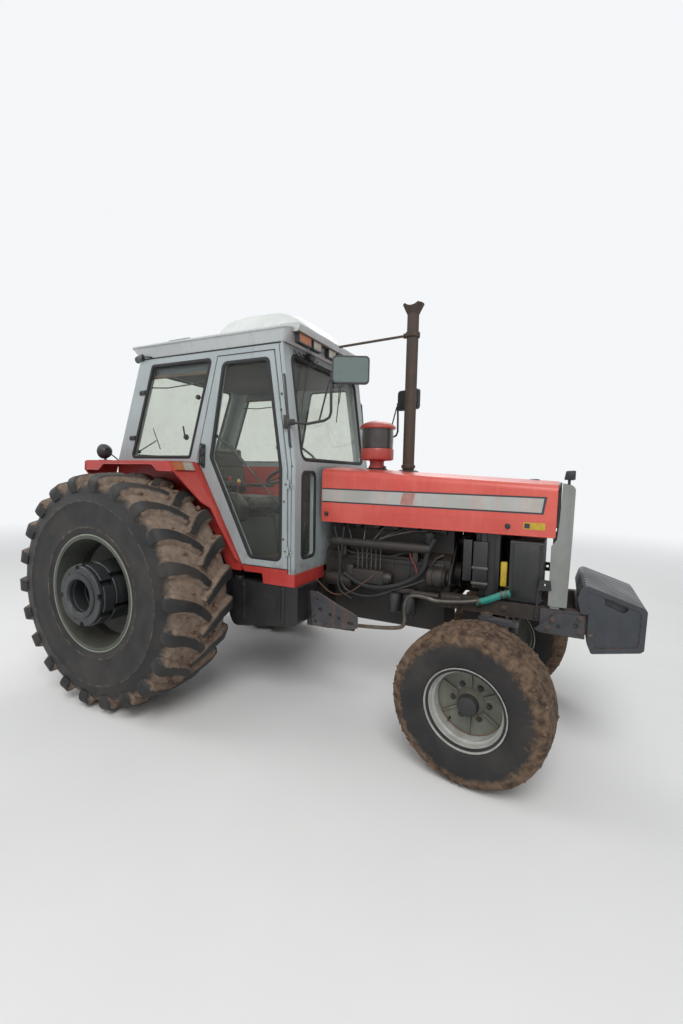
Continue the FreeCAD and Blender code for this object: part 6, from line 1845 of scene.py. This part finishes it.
for side, word, node in sides:
    rearMiddle = spot(0, side * rearTyre["track"], rearTyre["radius"])
    makeClods("rearClods" + word, "rear_wheel_" + node, rearMiddle, Vector((0, 1, 0)), Vector((1, 0, 0)), 799, (0, 200),
              170, 11 + side, 19)
    low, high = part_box("front_tyre_" + node)
    middle = (low + high) / 2
    turnAxis = Vector((0.12187, 0.99255, 0)).normalized()
    ahead = Vector((turnAxis.y, -turnAxis.x, 0))
    makeClods("treadClods" + word, "front_wheel_" + node, middle, turnAxis, ahead, 423, (0, 132), 150, 31 + side, 11)
    makeClods("shoulderClods" + word, "front_wheel_" + node, middle, turnAxis, ahead, 404, (136, 148), 46, 51 + side,
              15)
print("mud added")


# floor and light: the floor fades into the background before its far edge
def makeStage():
    corners = [Vector((-300, -300, 0)), Vector((300, -300, 0)), Vector((300, 300, 0)), Vector((-300, 300, 0))]
    mesh = bpy.data.meshes.new("floor")
    mesh.from_pydata(corners, [], [(0, 1, 2, 3)])
    floor = bpy.data.objects.new("floor", mesh)
    scene.collection.objects.link(floor)
    material = bpy.data.materials.new("floorPale")
    material.use_nodes = True
    tree = material.node_tree
    tree.nodes.clear()
    away = put(tree, "ShaderNodeVectorMath", {0: objectPlace(tree)}, operation="LENGTH").outputs["Value"]
    fade = put(tree, "ShaderNodeMapRange", {"Value": away, "From Min": 4.5, "From Max": 15.0},
               interpolation_type="SMOOTHSTEP").outputs[0]
    cloud = effect(tree, blotches, Scale=0.7, Detail=5.0, Low=0.3, High=0.7)
    colour = blendColour(tree, cloud, (0.84, 0.84, 0.83, 1), (0.88, 0.88, 0.87, 1))
    shader = put(tree, "ShaderNodeBsdfPrincipled", {"Base Color": colour, "Roughness": 0.9})
    glow = put(tree, "ShaderNodeEmission", {"Color": (0.96, 0.98, 1.0, 1), "Strength": 0.95})
    both = put(tree, "ShaderNodeMixShader", {0: fade, 1: shader.outputs[0], 2: glow.outputs[0]})
    put(tree, "ShaderNodeOutputMaterial", {"Surface": both.outputs[0]})
    mesh.materials.append(material)
    world = bpy.data.worlds.new("studio")
    scene.world = world
    world.use_nodes = True
    tree = world.node_tree
    tree.nodes.clear()
    path = put(tree, "ShaderNodeLightPath").outputs
    seen = sums(tree, "ADD", sums(tree, "ADD", path["Is Camera Ray"], path["Is Glossy Ray"]),
                path["Is Transmission Ray"], True)
    strength = ramped(tree, seen, 0.0, 1.0, 0.46, 0.95)
    light = put(tree, "ShaderNodeBackground", {"Color": (0.96, 0.98, 1.0, 1), "Strength": strength})
    put(tree, "ShaderNodeOutputWorld", {"Surface": light.outputs[0]})
    # columns: name, place, size in metres, strength in watts
    for name, place, size, power in (("keyLight", (3.0, -6.0, 7.5), 5.0, 400),
                                     ("fillLight", (-6.0, -3.0, 5.5), 4.0, 110),
                                     ("backLight", (-1.0, 6.5, 7.0), 5.0, 200)):
        data = bpy.data.lights.new(name, "AREA")
        data.shape = "DISK"
        data.size = size
        data.energy = power
        lamp = bpy.data.objects.new(name, data)
        lamp.location = place
        lamp.rotation_mode = "QUATERNION"
        lamp.rotation_quaternion = (Vector((0, 0, 1.2)) - Vector(place)).to_track_quat("-Z", "Y")
        scene.collection.objects.link(lamp)
    scene.view_settings.view_transform = "Standard"


makeStage()
print("stage lit")
